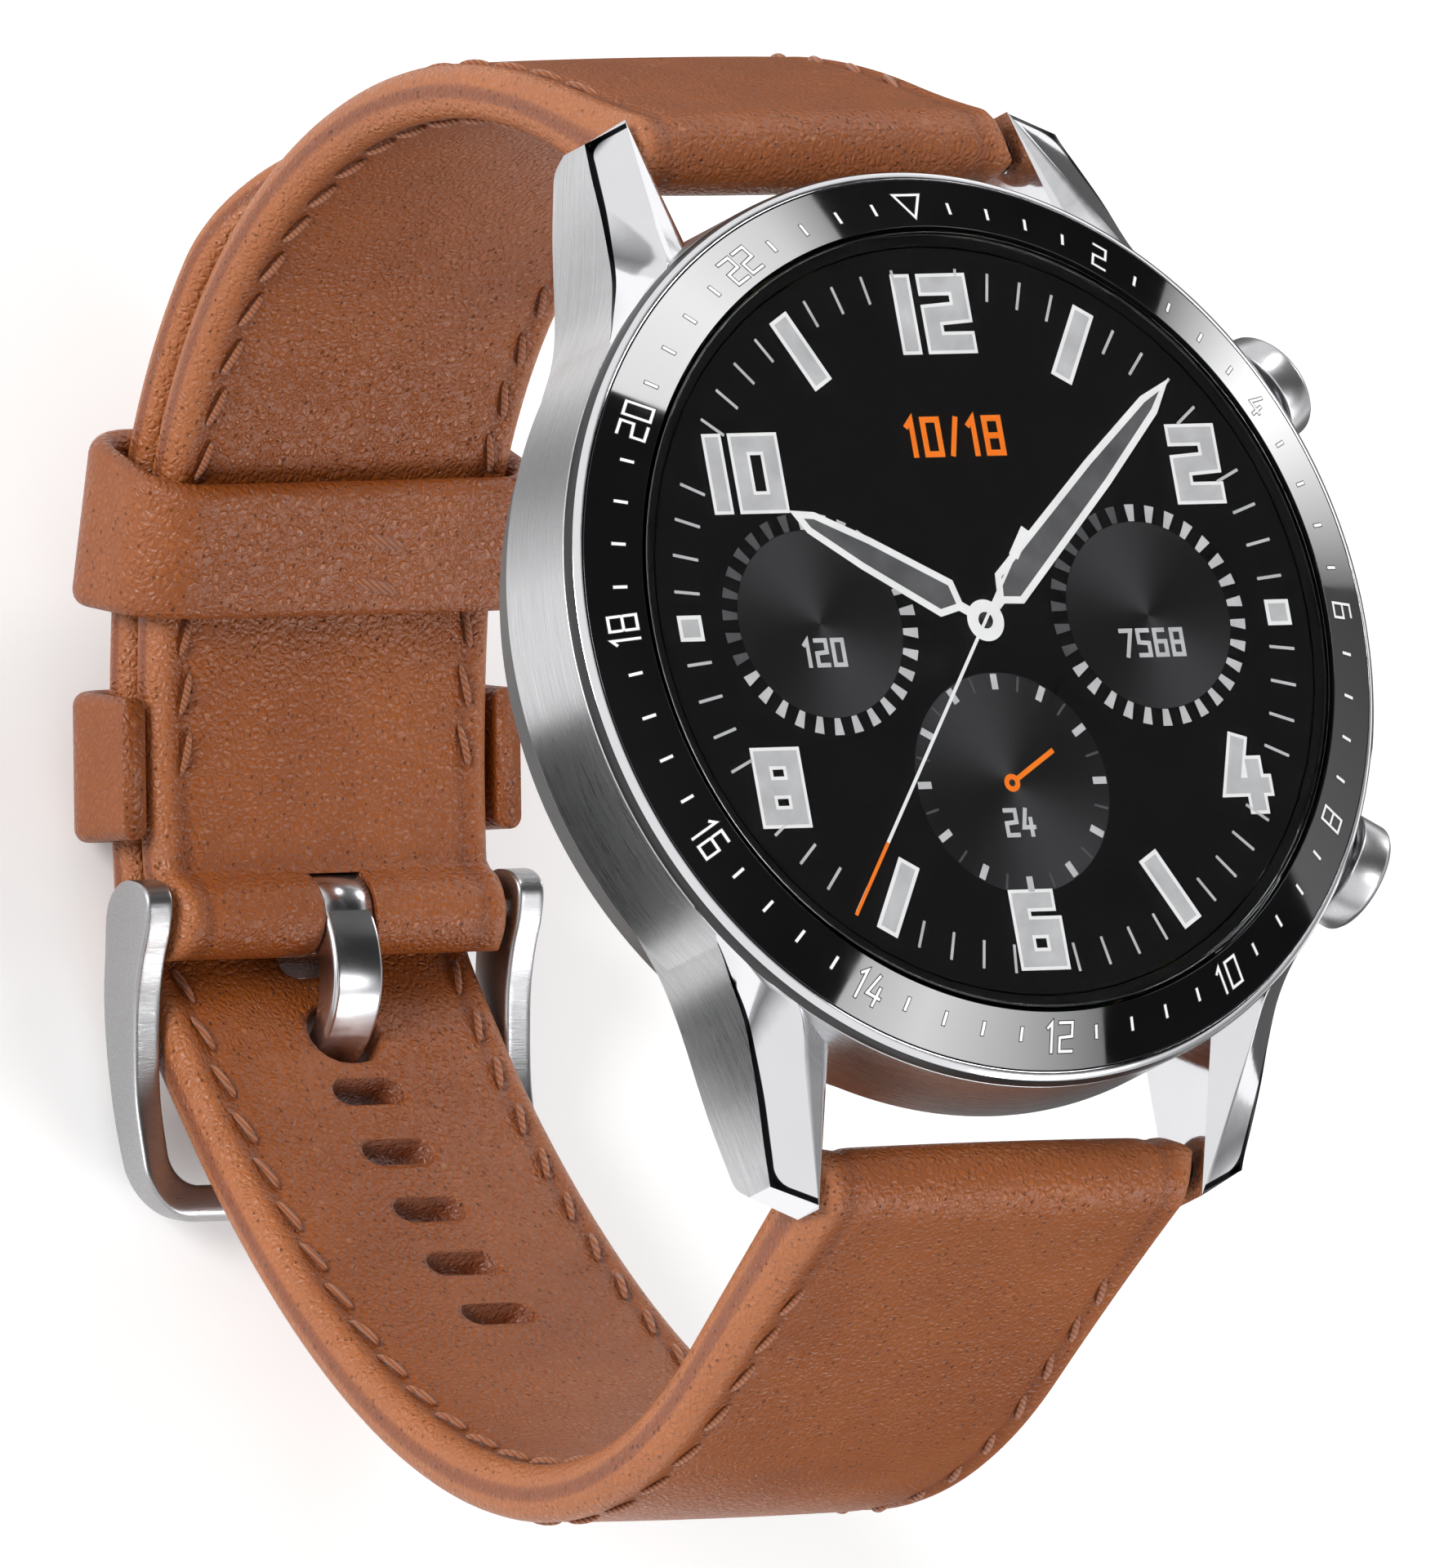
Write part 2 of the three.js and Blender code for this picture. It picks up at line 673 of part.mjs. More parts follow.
function caseBody() {
  const places = backScrewPlaces();
  const bosses = places.flatMap((place) => bossShapes(place, bossBottomZ, caseTopZ - flangeThickness / 2, 0));
  const lugs = [[1, 1], [-1, 1], [-1, -1], [1, -1]].map(([signX, signY]) => lug(signX, signY));
  const screwHoles = places.map(({ x, y }) => {
    return post(backScrewRadius + runGap, bossBottomZ - overrun, bossBottomZ + backScrewGrip, x, y);
  });
  const bores = [1, -1].flatMap((side) => [
    buttonBore(side, stemRadius + runGap, caseInnerRadius - overrun, caseRadius + overrun),
    buttonBore(side, neckRadius + 2 * fitGap, caseRadius - seatDepth, caseRadius + overrun),
  ]);
  return carve(caseRing(), { add: [buttonGuard(), ...lugs, ...bosses], cut: [...screwHoles, ...bores] });
}

// Back

function caseGasket() {
  const innerRadius = spigotRadius + fitGap;
  return ring(innerRadius, innerRadius + gasketWidth, caseBottomZ, caseBottomZ + gasketHeight, ringSides);
}

function caseBack() {
  const windowHole = windowRadius + runGap;
  const profile = [
    [windowHole, backBottomZ], [backTopRadius - backTaper, backBottomZ], [backTopRadius, backTopZ],
    [spigotRadius, backTopZ], [spigotRadius, spigotTopZ], [spigotRadius - spigotWall, spigotTopZ],
    [spigotRadius - spigotWall, floorTopZ], [windowHole, floorTopZ], [windowHole, backBottomZ],
  ];
  const places = backScrewPlaces();
  const pillarBottom = backBottomZ + floorThickness / 2;
  const pillars = places.map(({ x, y }) => post(bossRadius, pillarBottom, spigotTopZ, x, y));
  const headRoom = backScrewHeadHeight + fitGap;
  const holes = places.flatMap(({ x, y }) => [
    post(backScrewRadius + runGap, backBottomZ - overrun, spigotTopZ + overrun, x, y),
    post(backScrewHeadRadius + runGap, backBottomZ - overrun, backBottomZ + headRoom, x, y),
  ]);
  return carve(turned(profile, ringSides), { add: pillars, cut: holes });
}

function sensorWindow() {
  const profile = [
    [0, 0], [windowRadius - windowBevel, 0], [windowRadius, windowDrop], [windowRadius, windowFlangeZ],
    [windowFlangeRadius, windowFlangeZ], [windowFlangeRadius, windowTopZ], [0, windowTopZ],
  ];
  return turned(profile, discSides);
}

function sensorBoard() {
  const bottom = windowTopZ + seatGap;
  return disc(windowRadius - sensorBoardMargin, bottom, bottom + sensorBoardThickness, discSides);
}

function chargingCoil() {
  const bottom = floorTopZ + seatGap;
  const innerRadius = windowFlangeRadius + coilInnerMargin;
  const outerRadius = backScrewPlace - bossRadius - coilOuterMargin;
  return ring(innerRadius, outerRadius, bottom, bottom + coilThickness, discSides);
}

function backScrew({ x, y }) {
  const headTop = backBottomZ + backScrewHeadHeight;
  const tip = bossBottomZ + backScrewGrip - looseGap;
  const profile = [
    [0, backBottomZ + seatGap], [backScrewHeadRadius, backBottomZ + seatGap], [backScrewHeadRadius, headTop],
    [backScrewRadius, headTop], [backScrewRadius, tip], [0, tip],
  ];
  return turned(profile, smallSides).translate(x, y, 0);
}

// Inside

// Room for the case's bosses in the board and in the frame
function bossRooms(bottom, top) {
  return backScrewPlaces().flatMap((place) => bossShapes(place, bottom - overrun, top + overrun, looseGap));
}

function frameScrewPlaces() {
  return Array.from({ length: frameScrewCount }, (_, index) => {
    const angle = (index * 2 * Math.PI) / frameScrewCount;
    return { x: frameScrewPlace * Math.cos(angle), y: frameScrewPlace * Math.sin(angle) };
  });
}

function mainBoard() {
  const holes = frameScrewPlaces().map(({ x, y }) => {
    return post(frameScrewRadius + runGap, boardBottomZ - overrun, boardTopZ + overrun, x, y);
  });
  const board = disc(boardRadius, boardBottomZ, boardTopZ, discSides);
  return carve(board, { cut: [...bossRooms(boardBottomZ, boardTopZ), ...holes] });
}

function innerFrame() {
  const plate = disc(caseInnerRadius - looseGap, frameBottomZ, frameTopZ, discSides);
  const wallInner = batteryRadius + looseGap;
  const wallTop = frameBottomZ + frameThickness / 2;
  const wall = ring(wallInner, wallInner + frameWallThickness, batteryBottomZ + looseGap, wallTop, discSides);
  const studBottom = frameBottomZ - studHeight;
  const studs = frameScrewPlaces().map(({ x, y }) => post(studRadius, studBottom, wallTop, x, y));
  const holes = frameScrewPlaces().map(({ x, y }) => {
    return post(frameScrewRadius + runGap, boardTopZ - frameScrewLength - looseGap, frameTopZ + overrun, x, y);
  });
  const switchInner = caseInnerRadius - grooveWidth - clipThickness - switchDepth - 2 * buttonTravel - looseGap;
  const bays = [1, -1].map((side) => {
    const low = [switchInner - looseGap, -switchBay, frameBottomZ - overrun];
    return block(low, [caseRadius, switchBay, frameTopZ + overrun]).rotateZ(side * buttonAngle);
  });
  const cut = [...bossRooms(frameBottomZ, frameTopZ), ...holes, ...bays];
  return carve(plate, { add: [wall, ...studs], cut });
}

function battery() {
  return disc(batteryRadius, batteryBottomZ, batteryTopZ, discSides);
}

function speaker() {
  const inner = batteryRadius + 2 * looseGap + frameWallThickness;
  const low = [-inner - speakerDepth, -speakerWidth / 2, batteryTopZ - speakerHeight];
  return block(low, [-inner, speakerWidth / 2, batteryTopZ]);
}

function vibrationMotor() {
  const place = batteryRadius + 2 * looseGap + frameWallThickness + motorRadius;
  return post(motorRadius, batteryTopZ - motorHeight, batteryTopZ, 0, place);
}

function frameScrew({ x, y }) {
  const headBottom = boardTopZ + seatGap;
  const headTop = headBottom + frameScrewHeadHeight;
  const tip = boardTopZ - frameScrewLength;
  const profile = [
    [0, tip], [frameScrewRadius, tip], [frameScrewRadius, headBottom], [frameScrewHeadRadius, headBottom],
    [frameScrewHeadRadius, headTop], [0, headTop],
  ];
  return turned(profile, smallSides).translate(x, y, 0);
}

// Buttons, made along X and then turned to their places

const clipOuterPlace = caseInnerRadius - looseGap;
const clipInnerPlace = clipOuterPlace - clipThickness;
const grooveOuterPlace = clipOuterPlace + (grooveWidth - clipThickness) / 2;
const grooveInnerPlace = grooveOuterPlace - grooveWidth;
const stemEndPlace = grooveInnerPlace - looseGap;
const switchOuterPlace = stemEndPlace - buttonTravel - fitGap;

function atButton(geometry, side) {
  return geometry.rotateZ(side * buttonAngle).translate(0, 0, buttonZ);
}

function button(side) {
  const capInner = caseRadius + capStandOff;
  const capOuter = capInner + capThickness;
  const recessFloor = capInner + capRecess;
  const neckInner = caseRadius - seatDepth + buttonSealThickness + buttonTravel + 2 * fitGap;
  const grooveRadius = stemRadius - grooveDepth;
  const profile = [
    [0, stemEndPlace], [stemRadius, stemEndPlace], [stemRadius, grooveInnerPlace],
    [grooveRadius, grooveInnerPlace], [grooveRadius, grooveOuterPlace], [stemRadius, grooveOuterPlace],
    [stemRadius, neckInner],
    [neckRadius, neckInner], [neckRadius, recessFloor], [capRadius - capLip, recessFloor],
    [capRadius - capLip, capInner], [capRadius, capInner], [capRadius, capOuter - capBevel],
    [capRadius - capBevel, capOuter], [0, capOuter],
  ];
  return atButton(alongX(turned(profile, buttonSides)), side);
}

function buttonSeal(side) {
  const from = caseRadius - seatDepth + fitGap;
  const seal = ring(stemRadius + fitGap, neckRadius + fitGap, from, from + buttonSealThickness, smallSides);
  return atButton(alongX(seal), side);
}

function buttonClip(side) {
  const innerRadius = stemRadius - grooveDepth + fitGap;
  return atButton(alongX(ring(innerRadius, clipRadius, clipInnerPlace, clipOuterPlace, smallSides)), side);
}

function buttonSwitch(side) {
  const top = boardBottomZ - seatGap;
  const low = [switchOuterPlace - switchDepth, -switchWidth / 2, top - switchHeight];
  return block(low, [switchOuterPlace, switchWidth / 2, top]).rotateZ(side * buttonAngle);
}

// Spring bars

const tubeHalf = foldHalfWidth;
const pinTravel = pinReach + runGap;

function barTube(signY) {
  const boreRadius = tubeRadius - tubeWall;
  const endBore = pinRadius + runGap;
  const endInner = tubeHalf - tubeEndWall;
  const profile = [
    [endBore, -tubeHalf], [tubeRadius, -tubeHalf], [tubeRadius, tubeHalf], [endBore, tubeHalf],
    [endBore, endInner], [boreRadius, endInner], [boreRadius, -endInner], [endBore, -endInner],
    [endBore, -tubeHalf],
  ];
  return alongX(turned(profile, smallSides)).translate(0, signY * barPlaceY, barZ);
}

function barPin(signX, signY) {
  const collarOuter = tubeHalf - tubeEndWall - seatGap;
  const collarInner = collarOuter - pinCollarLength;
  const end = lugInnerX + pinReach;
  const profile = [
    [0, collarInner], [pinRadius + pinCollar, collarInner], [pinRadius + pinCollar, collarOuter],
    [pinRadius, collarOuter], [pinRadius, end], [0, end],
  ];
  const pin = alongX(turned(profile, smallSides));
  const facing = signX > 0 ? pin : pin.rotateZ(Math.PI);
  return facing.translate(0, signY * barPlaceY, barZ);
}

// The spring at its closed length, between the two pins pressed home
function barSpring(signY) {
  const half = tubeHalf - tubeEndWall - seatGap - pinCollarLength - pinTravel - fitGap;
  const outerRadius = tubeRadius - tubeWall - runGap;
  const coil = ring(outerRadius - springThickness, outerRadius, -half, half, smallSides);
  return alongX(coil).translate(0, signY * barPlaceY, barZ);
}

// Strap

// Distances along a path in even steps
function distances(from, to) {
  const steps = Math.ceil((to - from) / stationStep);
  return Array.from({ length: steps + 1 }, (_, step) => from + ((to - from) * step) / steps);
}

function foldRoll(signY) {
  return barX(foldRadius, -foldHalfWidth, foldHalfWidth, signY * foldPlaceY, barZ);
}

function foldHole(signY) {
  const reach = foldHalfWidth + overrun;
  return barX(tubeRadius + 2 * fitGap, -reach, reach, signY * barPlaceY, barZ);
}

function strapUpper() {
  const stations = distances(0, upperLength).map((distance) => ({
    ...upperAt(distance),
    half: upperHalfAt(distance),
    low: 0,
    high: upperThicknessAt(distance),
    bevel: strapBevel,
  }));
  const reach = strapEndHalfWidth + overrun;
  const endRoll = barX(foldRadius, -strapEndHalfWidth, strapEndHalfWidth, hingePlace.x, hingePlace.y);
  const endHole = barX(hingeBarRadius + 2 * fitGap, -reach, reach, hingePlace.x, hingePlace.y);
  const room = foldRadius + looseGap;
  const notch = band([-room, room].map((along) => ({
    point: buckleAt(along, 0),
    normal: buckleAside,
    half: tongueWidth / 2 + leatherGap,
    low: -room,
    high: room,
    bevel: sharpBevel,
  })));
  return carve(band(stations), { add: [foldRoll(1), endRoll], cut: [foldHole(1), endHole, notch] });
}

// A stadium-shaped tool that runs through the lower strap, square to it, some distance from its fold
function strapHole(distance, length) {
  const { point, normal, heading } = lowerAt(distance);
  const outline = new THREE.Shape();
  const reach = (holeWidth - length) / 2;
  outline.absarc(reach, 0, length / 2, -Math.PI / 2, Math.PI / 2, false);
  outline.absarc(-reach, 0, length / 2, Math.PI / 2, (3 * Math.PI) / 2, false);
  const depth = lowerThickness + 2 * overrun;
  const tool = new THREE.ExtrudeGeometry(outline, { depth, bevelEnabled: false, curveSegments: arcSides });
  const across = new THREE.Vector3(1, 0, 0);
  const along = inPath(0, direction(heading));
  const out = inPath(0, normal);
  const foot = inPath(0, point.addScaledVector(normal, -overrun));
  return tool.applyMatrix4(new THREE.Matrix4().makeBasis(across, along, out).setPosition(foot));
}

function strapLower() {
  const stations = distances(0, lowerLength).map((distance) => ({
    ...lowerAt(distance),
    half: lowerHalfAt(distance),
    low: 0,
    high: lowerThicknessAt(distance),
    bevel: strapBevel,
  }));
  const holes = [strapHole(prongDistance - prongHoleShift, prongHoleLength)];
  for (let number = 1; number <= holesBefore; number += 1) {
    holes.push(strapHole(prongDistance - number * holePitch, holeLength));
  }
  for (let number = 1; number <= holesAfter; number += 1) {
    holes.push(strapHole(prongDistance + number * holePitch, holeLength));
  }
  return carve(band(stations), { add: [foldRoll(-1)], cut: [foldHole(-1), ...holes] });
}

// A stretch of keeper: everything between two heights, wider than the straps by a margin
function keeperBand(from, to, margin, low) {
  const stations = Array.from({ length: keeperSteps + 1 }, (_, step) => {
    const distance = from + ((to - from) * step) / keeperSteps;
    const stack = upperThicknessAt(distance) + leatherGap + tailThickness;
    const half = upperHalfAt(distance) + margin;
    return { ...upperAt(distance), half, low, high: stack + margin, bevel: keeperBevel };
  });
  return band(stations);
}

function freeKeeper() {
  const end = freeKeeperStart + freeKeeperLength;
  const outerMargin = keeperSideGap + keeperThickness;
  const outer = keeperBand(freeKeeperStart, end, outerMargin, -outerMargin);
  const inner = keeperBand(freeKeeperStart - overrun, end + overrun, keeperSideGap, -keeperSideGap);
  return carve(outer, { cut: [inner] });
}

function fixedKeeper() {
  const end = fixedKeeperStart + fixedKeeperLength;
  const outerMargin = keeperSideGap + keeperThickness;
  const outer = keeperBand(fixedKeeperStart, end, outerMargin, 0);
  const inner = keeperBand(fixedKeeperStart - overrun, end + overrun, keeperSideGap, -overrun);
  return carve(outer, { cut: [inner] });
}

// Buckle

// A rounded rectangle in plan, from the hinge's side to the far end, as a tool through the buckle
function bucklePlan(half, from, to, corner) {
  const outline = new THREE.Shape();
  outline.moveTo(-half, from);
  outline.lineTo(half, from);
  outline.absarc(half - corner, to - corner, corner, 0, Math.PI / 2, false);
  outline.absarc(corner - half, to - corner, corner, Math.PI / 2, Math.PI, false);
  outline.closePath();
  const depth = 2 * buckleLength;
  const tool = new THREE.ExtrudeGeometry(outline, { depth, bevelEnabled: false, curveSegments: arcSides });
  const across = new THREE.Vector3(1, 0, 0);
  const along = inPath(0, buckleAlong);
  const out = inPath(0, buckleAside);
  const foot = inPath(0, buckleAt(0, -buckleLength));
  return tool.applyMatrix4(new THREE.Matrix4().makeBasis(across, along, out).setPosition(foot));
}

// The outline of the cheeks, drawn right across the buckle
function cheekBlock() {
  const corners = cheekShares.map(([along, aside]) => new THREE.Vector3(along, aside, 0));
  const outline = new THREE.CatmullRomCurve3(corners, true).getPoints(2 * cheekShares.length);
  outline.pop();
  const points = outline.map(({ x, y }) => buckleAt(x * buckleLength, y * buckleLength));
  const settings = { depth: 2 * cheekOuterX, bevelEnabled: false };
  const slab = new THREE.ExtrudeGeometry(new THREE.Shape(points), settings);
  const axes = [new THREE.Vector3(0, 1, 0), new THREE.Vector3(0, 0, 1), new THREE.Vector3(1, 0, 0)];
  const place = new THREE.Matrix4().makeBasis(...axes).setPosition(-cheekOuterX, 0, 0);
  return slab.applyMatrix4(place);
}

function buckleFrame() {
  const farInner = buckleLength - farBarWidth;
  const outerPlan = solidOf(bucklePlan(cheekOuterX, -buckleLength, buckleLength, outerCorner));
  const innerPlan = bucklePlan(cheekInnerX, -buckleLength, farInner, innerCorner);
  const rest = band([farInner - overrun, buckleLength + overrun].map((along) => ({
    point: buckleAt(along, 0),
    normal: buckleAside,
    half: tongueWidth / 2 + looseGap,
    low: tongueRestDepth,
    high: buckleLength,
    bevel: sharpBevel,
  })));
  const reach = cheekInnerX + hingeBarInset + runGap;
  const socket = barX(hingeBarRadius + runGap, -reach, reach, hingePlace.x, hingePlace.y);
  const body = geometryOf(solidOf(cheekBlock()).intersect(outerPlan));
  return carve(body, { cut: [innerPlan, rest, socket] });
}

function buckleBar() {
  const reach = cheekInnerX + hingeBarInset;
  return barX(hingeBarRadius, -reach, reach, hingePlace.x, hingePlace.y);
}

function buckleTongue() {
  const middle = tongueShares.map(([along, aside]) => buckleAt(along * buckleLength, aside * buckleLength));
  const route = new THREE.SplineCurve(middle);
  const half = tongueWidth / 2;
  const stations = tongueShares.map(([, , thicknessShare], index) => {
    const tangent = route.getTangent(index / (tongueShares.length - 1));
    const reach = (thicknessShare * buckleLength) / 2;
    const normal = leftOf(tangent.angle());
    return { point: middle[index], normal, half, low: -reach, high: reach, bevel: reach * tongueBevelShare };
  });
  const knuckle = barX(tongueKnuckle, -half, half, hingePlace.x, hingePlace.y);
  const bore = barX(hingeBarRadius + runGap, -cheekInnerX, cheekInnerX, hingePlace.x, hingePlace.y);
  return carve(band(stations), { add: [knuckle], cut: [bore] });
}

// Assembly

const watch = new THREE.Group();

function place(name, geometry, material) {
  const mesh = new THREE.Mesh(weld(geometry), material);
  mesh.name = name;
  watch.add(mesh);
}

place("front_glass", frontGlass(), materials.glass);
place("glass_seal", glassSeal(), materials.rubber);
place("display_panel", displayPanel(), materials.blackGloss);
place("bezel_ring", bezelRing(), materials.blackGloss);
place("bezel_rim", bezelRim(), materials.polishedSteel);
place("case_body", caseBody(), materials.steel);
place("case_gasket", caseGasket(), materials.rubber);
place("case_back", caseBack(), materials.blackPlastic);
place("sensor_window", sensorWindow(), materials.glass);
place("sensor_board", sensorBoard(), materials.board);
place("charging_coil", chargingCoil(), materials.copper);
place("main_board", mainBoard(), materials.board);
place("inner_frame", innerFrame(), materials.blackPlastic);
place("battery", battery(), materials.battery);
place("speaker", speaker(), materials.blackPlastic);
place("vibration_motor", vibrationMotor(), materials.battery);

backScrewPlaces().forEach((spot, index) => {
  place(`back_screw_${index + 1}`, backScrew(spot), materials.steel);
});
frameScrewPlaces().forEach((spot, index) => {
  place(`frame_screw_${index + 1}`, frameScrew(spot), materials.steel);
});

for (const [name, side] of [["upper", 1], ["lower", -1]]) {
  place(`${name}_button`, button(side), materials.polishedSteel);
  place(`${name}_button_seal`, buttonSeal(side), materials.rubber);
  place(`${name}_button_clip`, buttonClip(side), materials.steel);
  place(`${name}_button_switch`, buttonSwitch(side), materials.blackPlastic);
  place(`${name}_bar_tube`, barTube(side), materials.steel);
  place(`${name}_bar_spring`, barSpring(side), materials.steel);
  place(`${name}_bar_right_pin`, barPin(1, side), materials.steel);
  place(`${name}_bar_left_pin`, barPin(-1, side), materials.steel);
}

place("strap_upper", strapUpper(), materials.leather);
place("strap_lower", strapLower(), materials.leather);
place("fixed_keeper", fixedKeeper(), materials.leather);
place("free_keeper", freeKeeper(), materials.leather);
place("buckle_frame", buckleFrame(), materials.polishedSteel);
place("buckle_bar", buckleBar(), materials.steel);
place("buckle_tongue", buckleTongue(), materials.polishedSteel);

export default watch;
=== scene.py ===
# %% [markdown]
# # A round smartwatch on a buckled leather strap
# The CAD model gives every place and size. This lesson dresses it: the leather is carried along the same path
# as the solid straps but with soft edges, stitches and holes, the metal gets fine bevels, and the dial its marks.
# Lengths are written in millimetres, the way a watchmaker would, and become metres when a mesh is made.

# %% The frame
import math

import bmesh
import bpy
import numpy as np

from mathutils import Matrix, Vector


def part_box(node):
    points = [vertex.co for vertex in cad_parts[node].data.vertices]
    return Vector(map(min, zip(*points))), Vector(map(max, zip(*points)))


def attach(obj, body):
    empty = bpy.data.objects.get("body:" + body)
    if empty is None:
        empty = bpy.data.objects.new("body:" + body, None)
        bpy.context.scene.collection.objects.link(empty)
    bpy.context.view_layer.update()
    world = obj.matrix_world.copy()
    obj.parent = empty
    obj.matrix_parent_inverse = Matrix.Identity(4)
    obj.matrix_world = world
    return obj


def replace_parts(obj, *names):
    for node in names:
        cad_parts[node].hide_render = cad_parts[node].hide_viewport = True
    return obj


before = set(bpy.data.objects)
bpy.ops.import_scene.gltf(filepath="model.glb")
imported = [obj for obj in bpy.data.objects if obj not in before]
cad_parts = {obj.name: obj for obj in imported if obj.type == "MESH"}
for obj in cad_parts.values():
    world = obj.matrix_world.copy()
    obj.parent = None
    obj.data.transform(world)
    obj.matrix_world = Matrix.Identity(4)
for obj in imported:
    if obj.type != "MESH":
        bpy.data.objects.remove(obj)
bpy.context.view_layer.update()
MILLIMETRE = 0.001

# %% [markdown]
# ## Meshes from grids
# Most surfaces here are a function of two parameters, worked out for a whole grid of points at once. A few
# helpers turn a grid into faces, close its ends, and see that the faces look outwards.

# %% Lengths and turns
def full_turn(count):
    """Even angles of a whole turn."""
    return np.linspace(0, 2 * np.pi, count, endpoint=False)


def unit(heading):
    """The unit vector of a heading in a plane: (cos, sin)."""
    return np.stack([np.cos(heading), np.sin(heading)], axis=-1)


def directions(rows):
    """Every row of an array divided by its own length."""
    return rows / np.linalg.norm(rows, axis=-1, keepdims=True)


def way_along(points, power=1):
    """How far each point of a line lies along it: the sum of the chords before it, each raised to a power."""
    return np.concatenate([[0], np.cumsum(np.linalg.norm(np.diff(points, axis=0), axis=1) ** power)])


# %% Faces of a grid
def grid_faces(rows, columns, wrap_rows=False, wrap_columns=False, first=0):
    """Four-cornered faces between neighbours of a grid. A wrapped side also joins its last line to its first.
    Corner numbers start at first, where the grid's first point stands in a longer list."""
    row = np.arange(rows if wrap_rows else rows - 1)
    column = np.arange(columns if wrap_columns else columns - 1)
    a, b = (x.ravel() for x in np.meshgrid(row, column, indexing="ij"))
    a_next, b_next = (a + 1) % rows, (b + 1) % columns
    corners = [a * columns + b, a_next * columns + b, a_next * columns + b_next, a * columns + b_next]
    return np.stack(corners, axis=-1) + first


def volume_of(points, faces):
    """The signed volume of a closed mesh: one sixth of the sum of a . (b x c) over its triangles."""
    total = 0.0
    for face in map(np.atleast_2d, faces):
        for k in range(1, face.shape[1] - 1):
            a, b, c = (points[face[:, corner]] for corner in (0, k, k + 1))
            total += np.einsum("ij,ij->i", a, np.cross(b, c)).sum() / 6
    return total


def new_object(name, points, faces):
    """An object in the scene, from points in millimetres and lists of their numbers."""
    mesh = bpy.data.meshes.new(name)
    mesh.from_pydata((np.reshape(points, (-1, 3)) * MILLIMETRE).tolist(), [], faces)
    made = bpy.data.objects.new(name, mesh)
    bpy.context.scene.collection.objects.link(made)
    return made


def carry(piece, label, numbers):
    """Gives every point of a piece a number under a name, for the finishes to read."""
    carried = piece.data.attributes.new(label, "FLOAT", "POINT")
    carried.data.foreach_set("value", np.asarray(numbers, np.float32).ravel())
    return piece


def make_piece(name, points, faces, smooth=True, values=None, finish=None):
    """A piece from points and a list of face arrays, with its faces turned outwards. Values are numbers that each
    point carries under a name. Finish gives each face its slot."""
    points = np.asarray(points, float).reshape(-1, 3)
    if volume_of(points, faces) < 0:
        faces = [np.asarray(face)[..., ::-1] for face in faces]
    piece = new_object(name, points, [row for face in faces for row in np.atleast_2d(face).tolist()])
    mesh = piece.data
    for label, numbers in (values or {}).items():
        carry(piece, label, numbers)
    if finish is not None:
        mesh.polygons.foreach_set("material_index", np.asarray(finish, np.int32))
    build = bmesh.new()
    build.from_mesh(mesh)
    bmesh.ops.remove_doubles(build, verts=build.verts, dist=2e-7)
    bmesh.ops.dissolve_degenerate(build, edges=build.edges, dist=1e-8)
    build.to_mesh(mesh)
    build.free()
    mesh.polygons.foreach_set("use_smooth", np.full(len(mesh.polygons), smooth))
    return piece


def tube(name, grid, wrap_rows=False, caps=True, smooth=True, values=None, column_finish=None):
    """A body from a grid whose every row is a closed loop; unless it wraps, flat caps close its two ends."""
    rows, columns = grid.shape[:2]
    faces = [grid_faces(rows, columns, wrap_rows, True)]
    if caps and not wrap_rows:
        first = np.arange(columns)
        faces += [first, first[::-1] + (rows - 1) * columns]
    finish = None
    if column_finish is not None:
        finish = np.concatenate([np.tile(column_finish, rows if wrap_rows else rows - 1), np.zeros(len(faces[1:]))])
    return make_piece(name, grid, faces, smooth, values, finish)


def turned(name, profile, sides=192, column_finish=None, origin=(0, 0, 0), axes=np.eye(3)):
    """A round piece: (r, z) goes to (r cos a, r sin a, z) for even angles a, laid out on three axes from an
    origin."""
    profile = np.asarray(profile, float)
    angle = full_turn(sides)[:, None]
    r, z = profile[None, :, 0], profile[None, :, 1]
    grid = np.stack([r * np.cos(angle), r * np.sin(angle), z + 0 * angle], axis=-1) @ axes + origin
    finish = None if column_finish is None else np.tile(column_finish, sides)
    return make_piece(name, grid, [grid_faces(sides, len(profile), True, True)], finish=finish)


def crisp(piece, width=0.06, segments=2, angle=28):
    """Edges sharper than an angle get a fine round, as machined edges have, and flat faces keep flat shading."""
    bevel = piece.modifiers.new("fine edge", "BEVEL")
    bevel.width, bevel.segments, bevel.harden_normals = width * MILLIMETRE, segments, False
    bevel.limit_method, bevel.angle_limit = "ANGLE", math.radians(angle)
    piece.modifiers.new("even shading", "WEIGHTED_NORMAL").keep_sharp = True
    return piece


# %% [markdown]
# ## The strap's path
# Seen from the side, each strap half is a line in the plane of Y and Z. The upper half leaves its lug, bends
# evenly round the wrist and ends at the buckle's bar. The lower half bends to the tongue, turns round the bar
# and lies along the outside of the upper half. The numbers are those of the CAD model.

# %% The upper strap's path
FOLD_RADIUS = 2.1
FOLD_PLACE = np.array([26.2, 2.1])
LEATHER_GAP = 0.35
UPPER_HEADING = math.radians(-53.5)
UPPER_RUNS = [(5.77, 0.0), (50.4, math.radians(-104.6)), (14.45, math.radians(-10.7))]
UPPER_LENGTH = sum(run for run, _ in UPPER_RUNS)
UPPER_START = FOLD_PLACE - FOLD_RADIUS * unit(UPPER_HEADING + math.pi / 2)


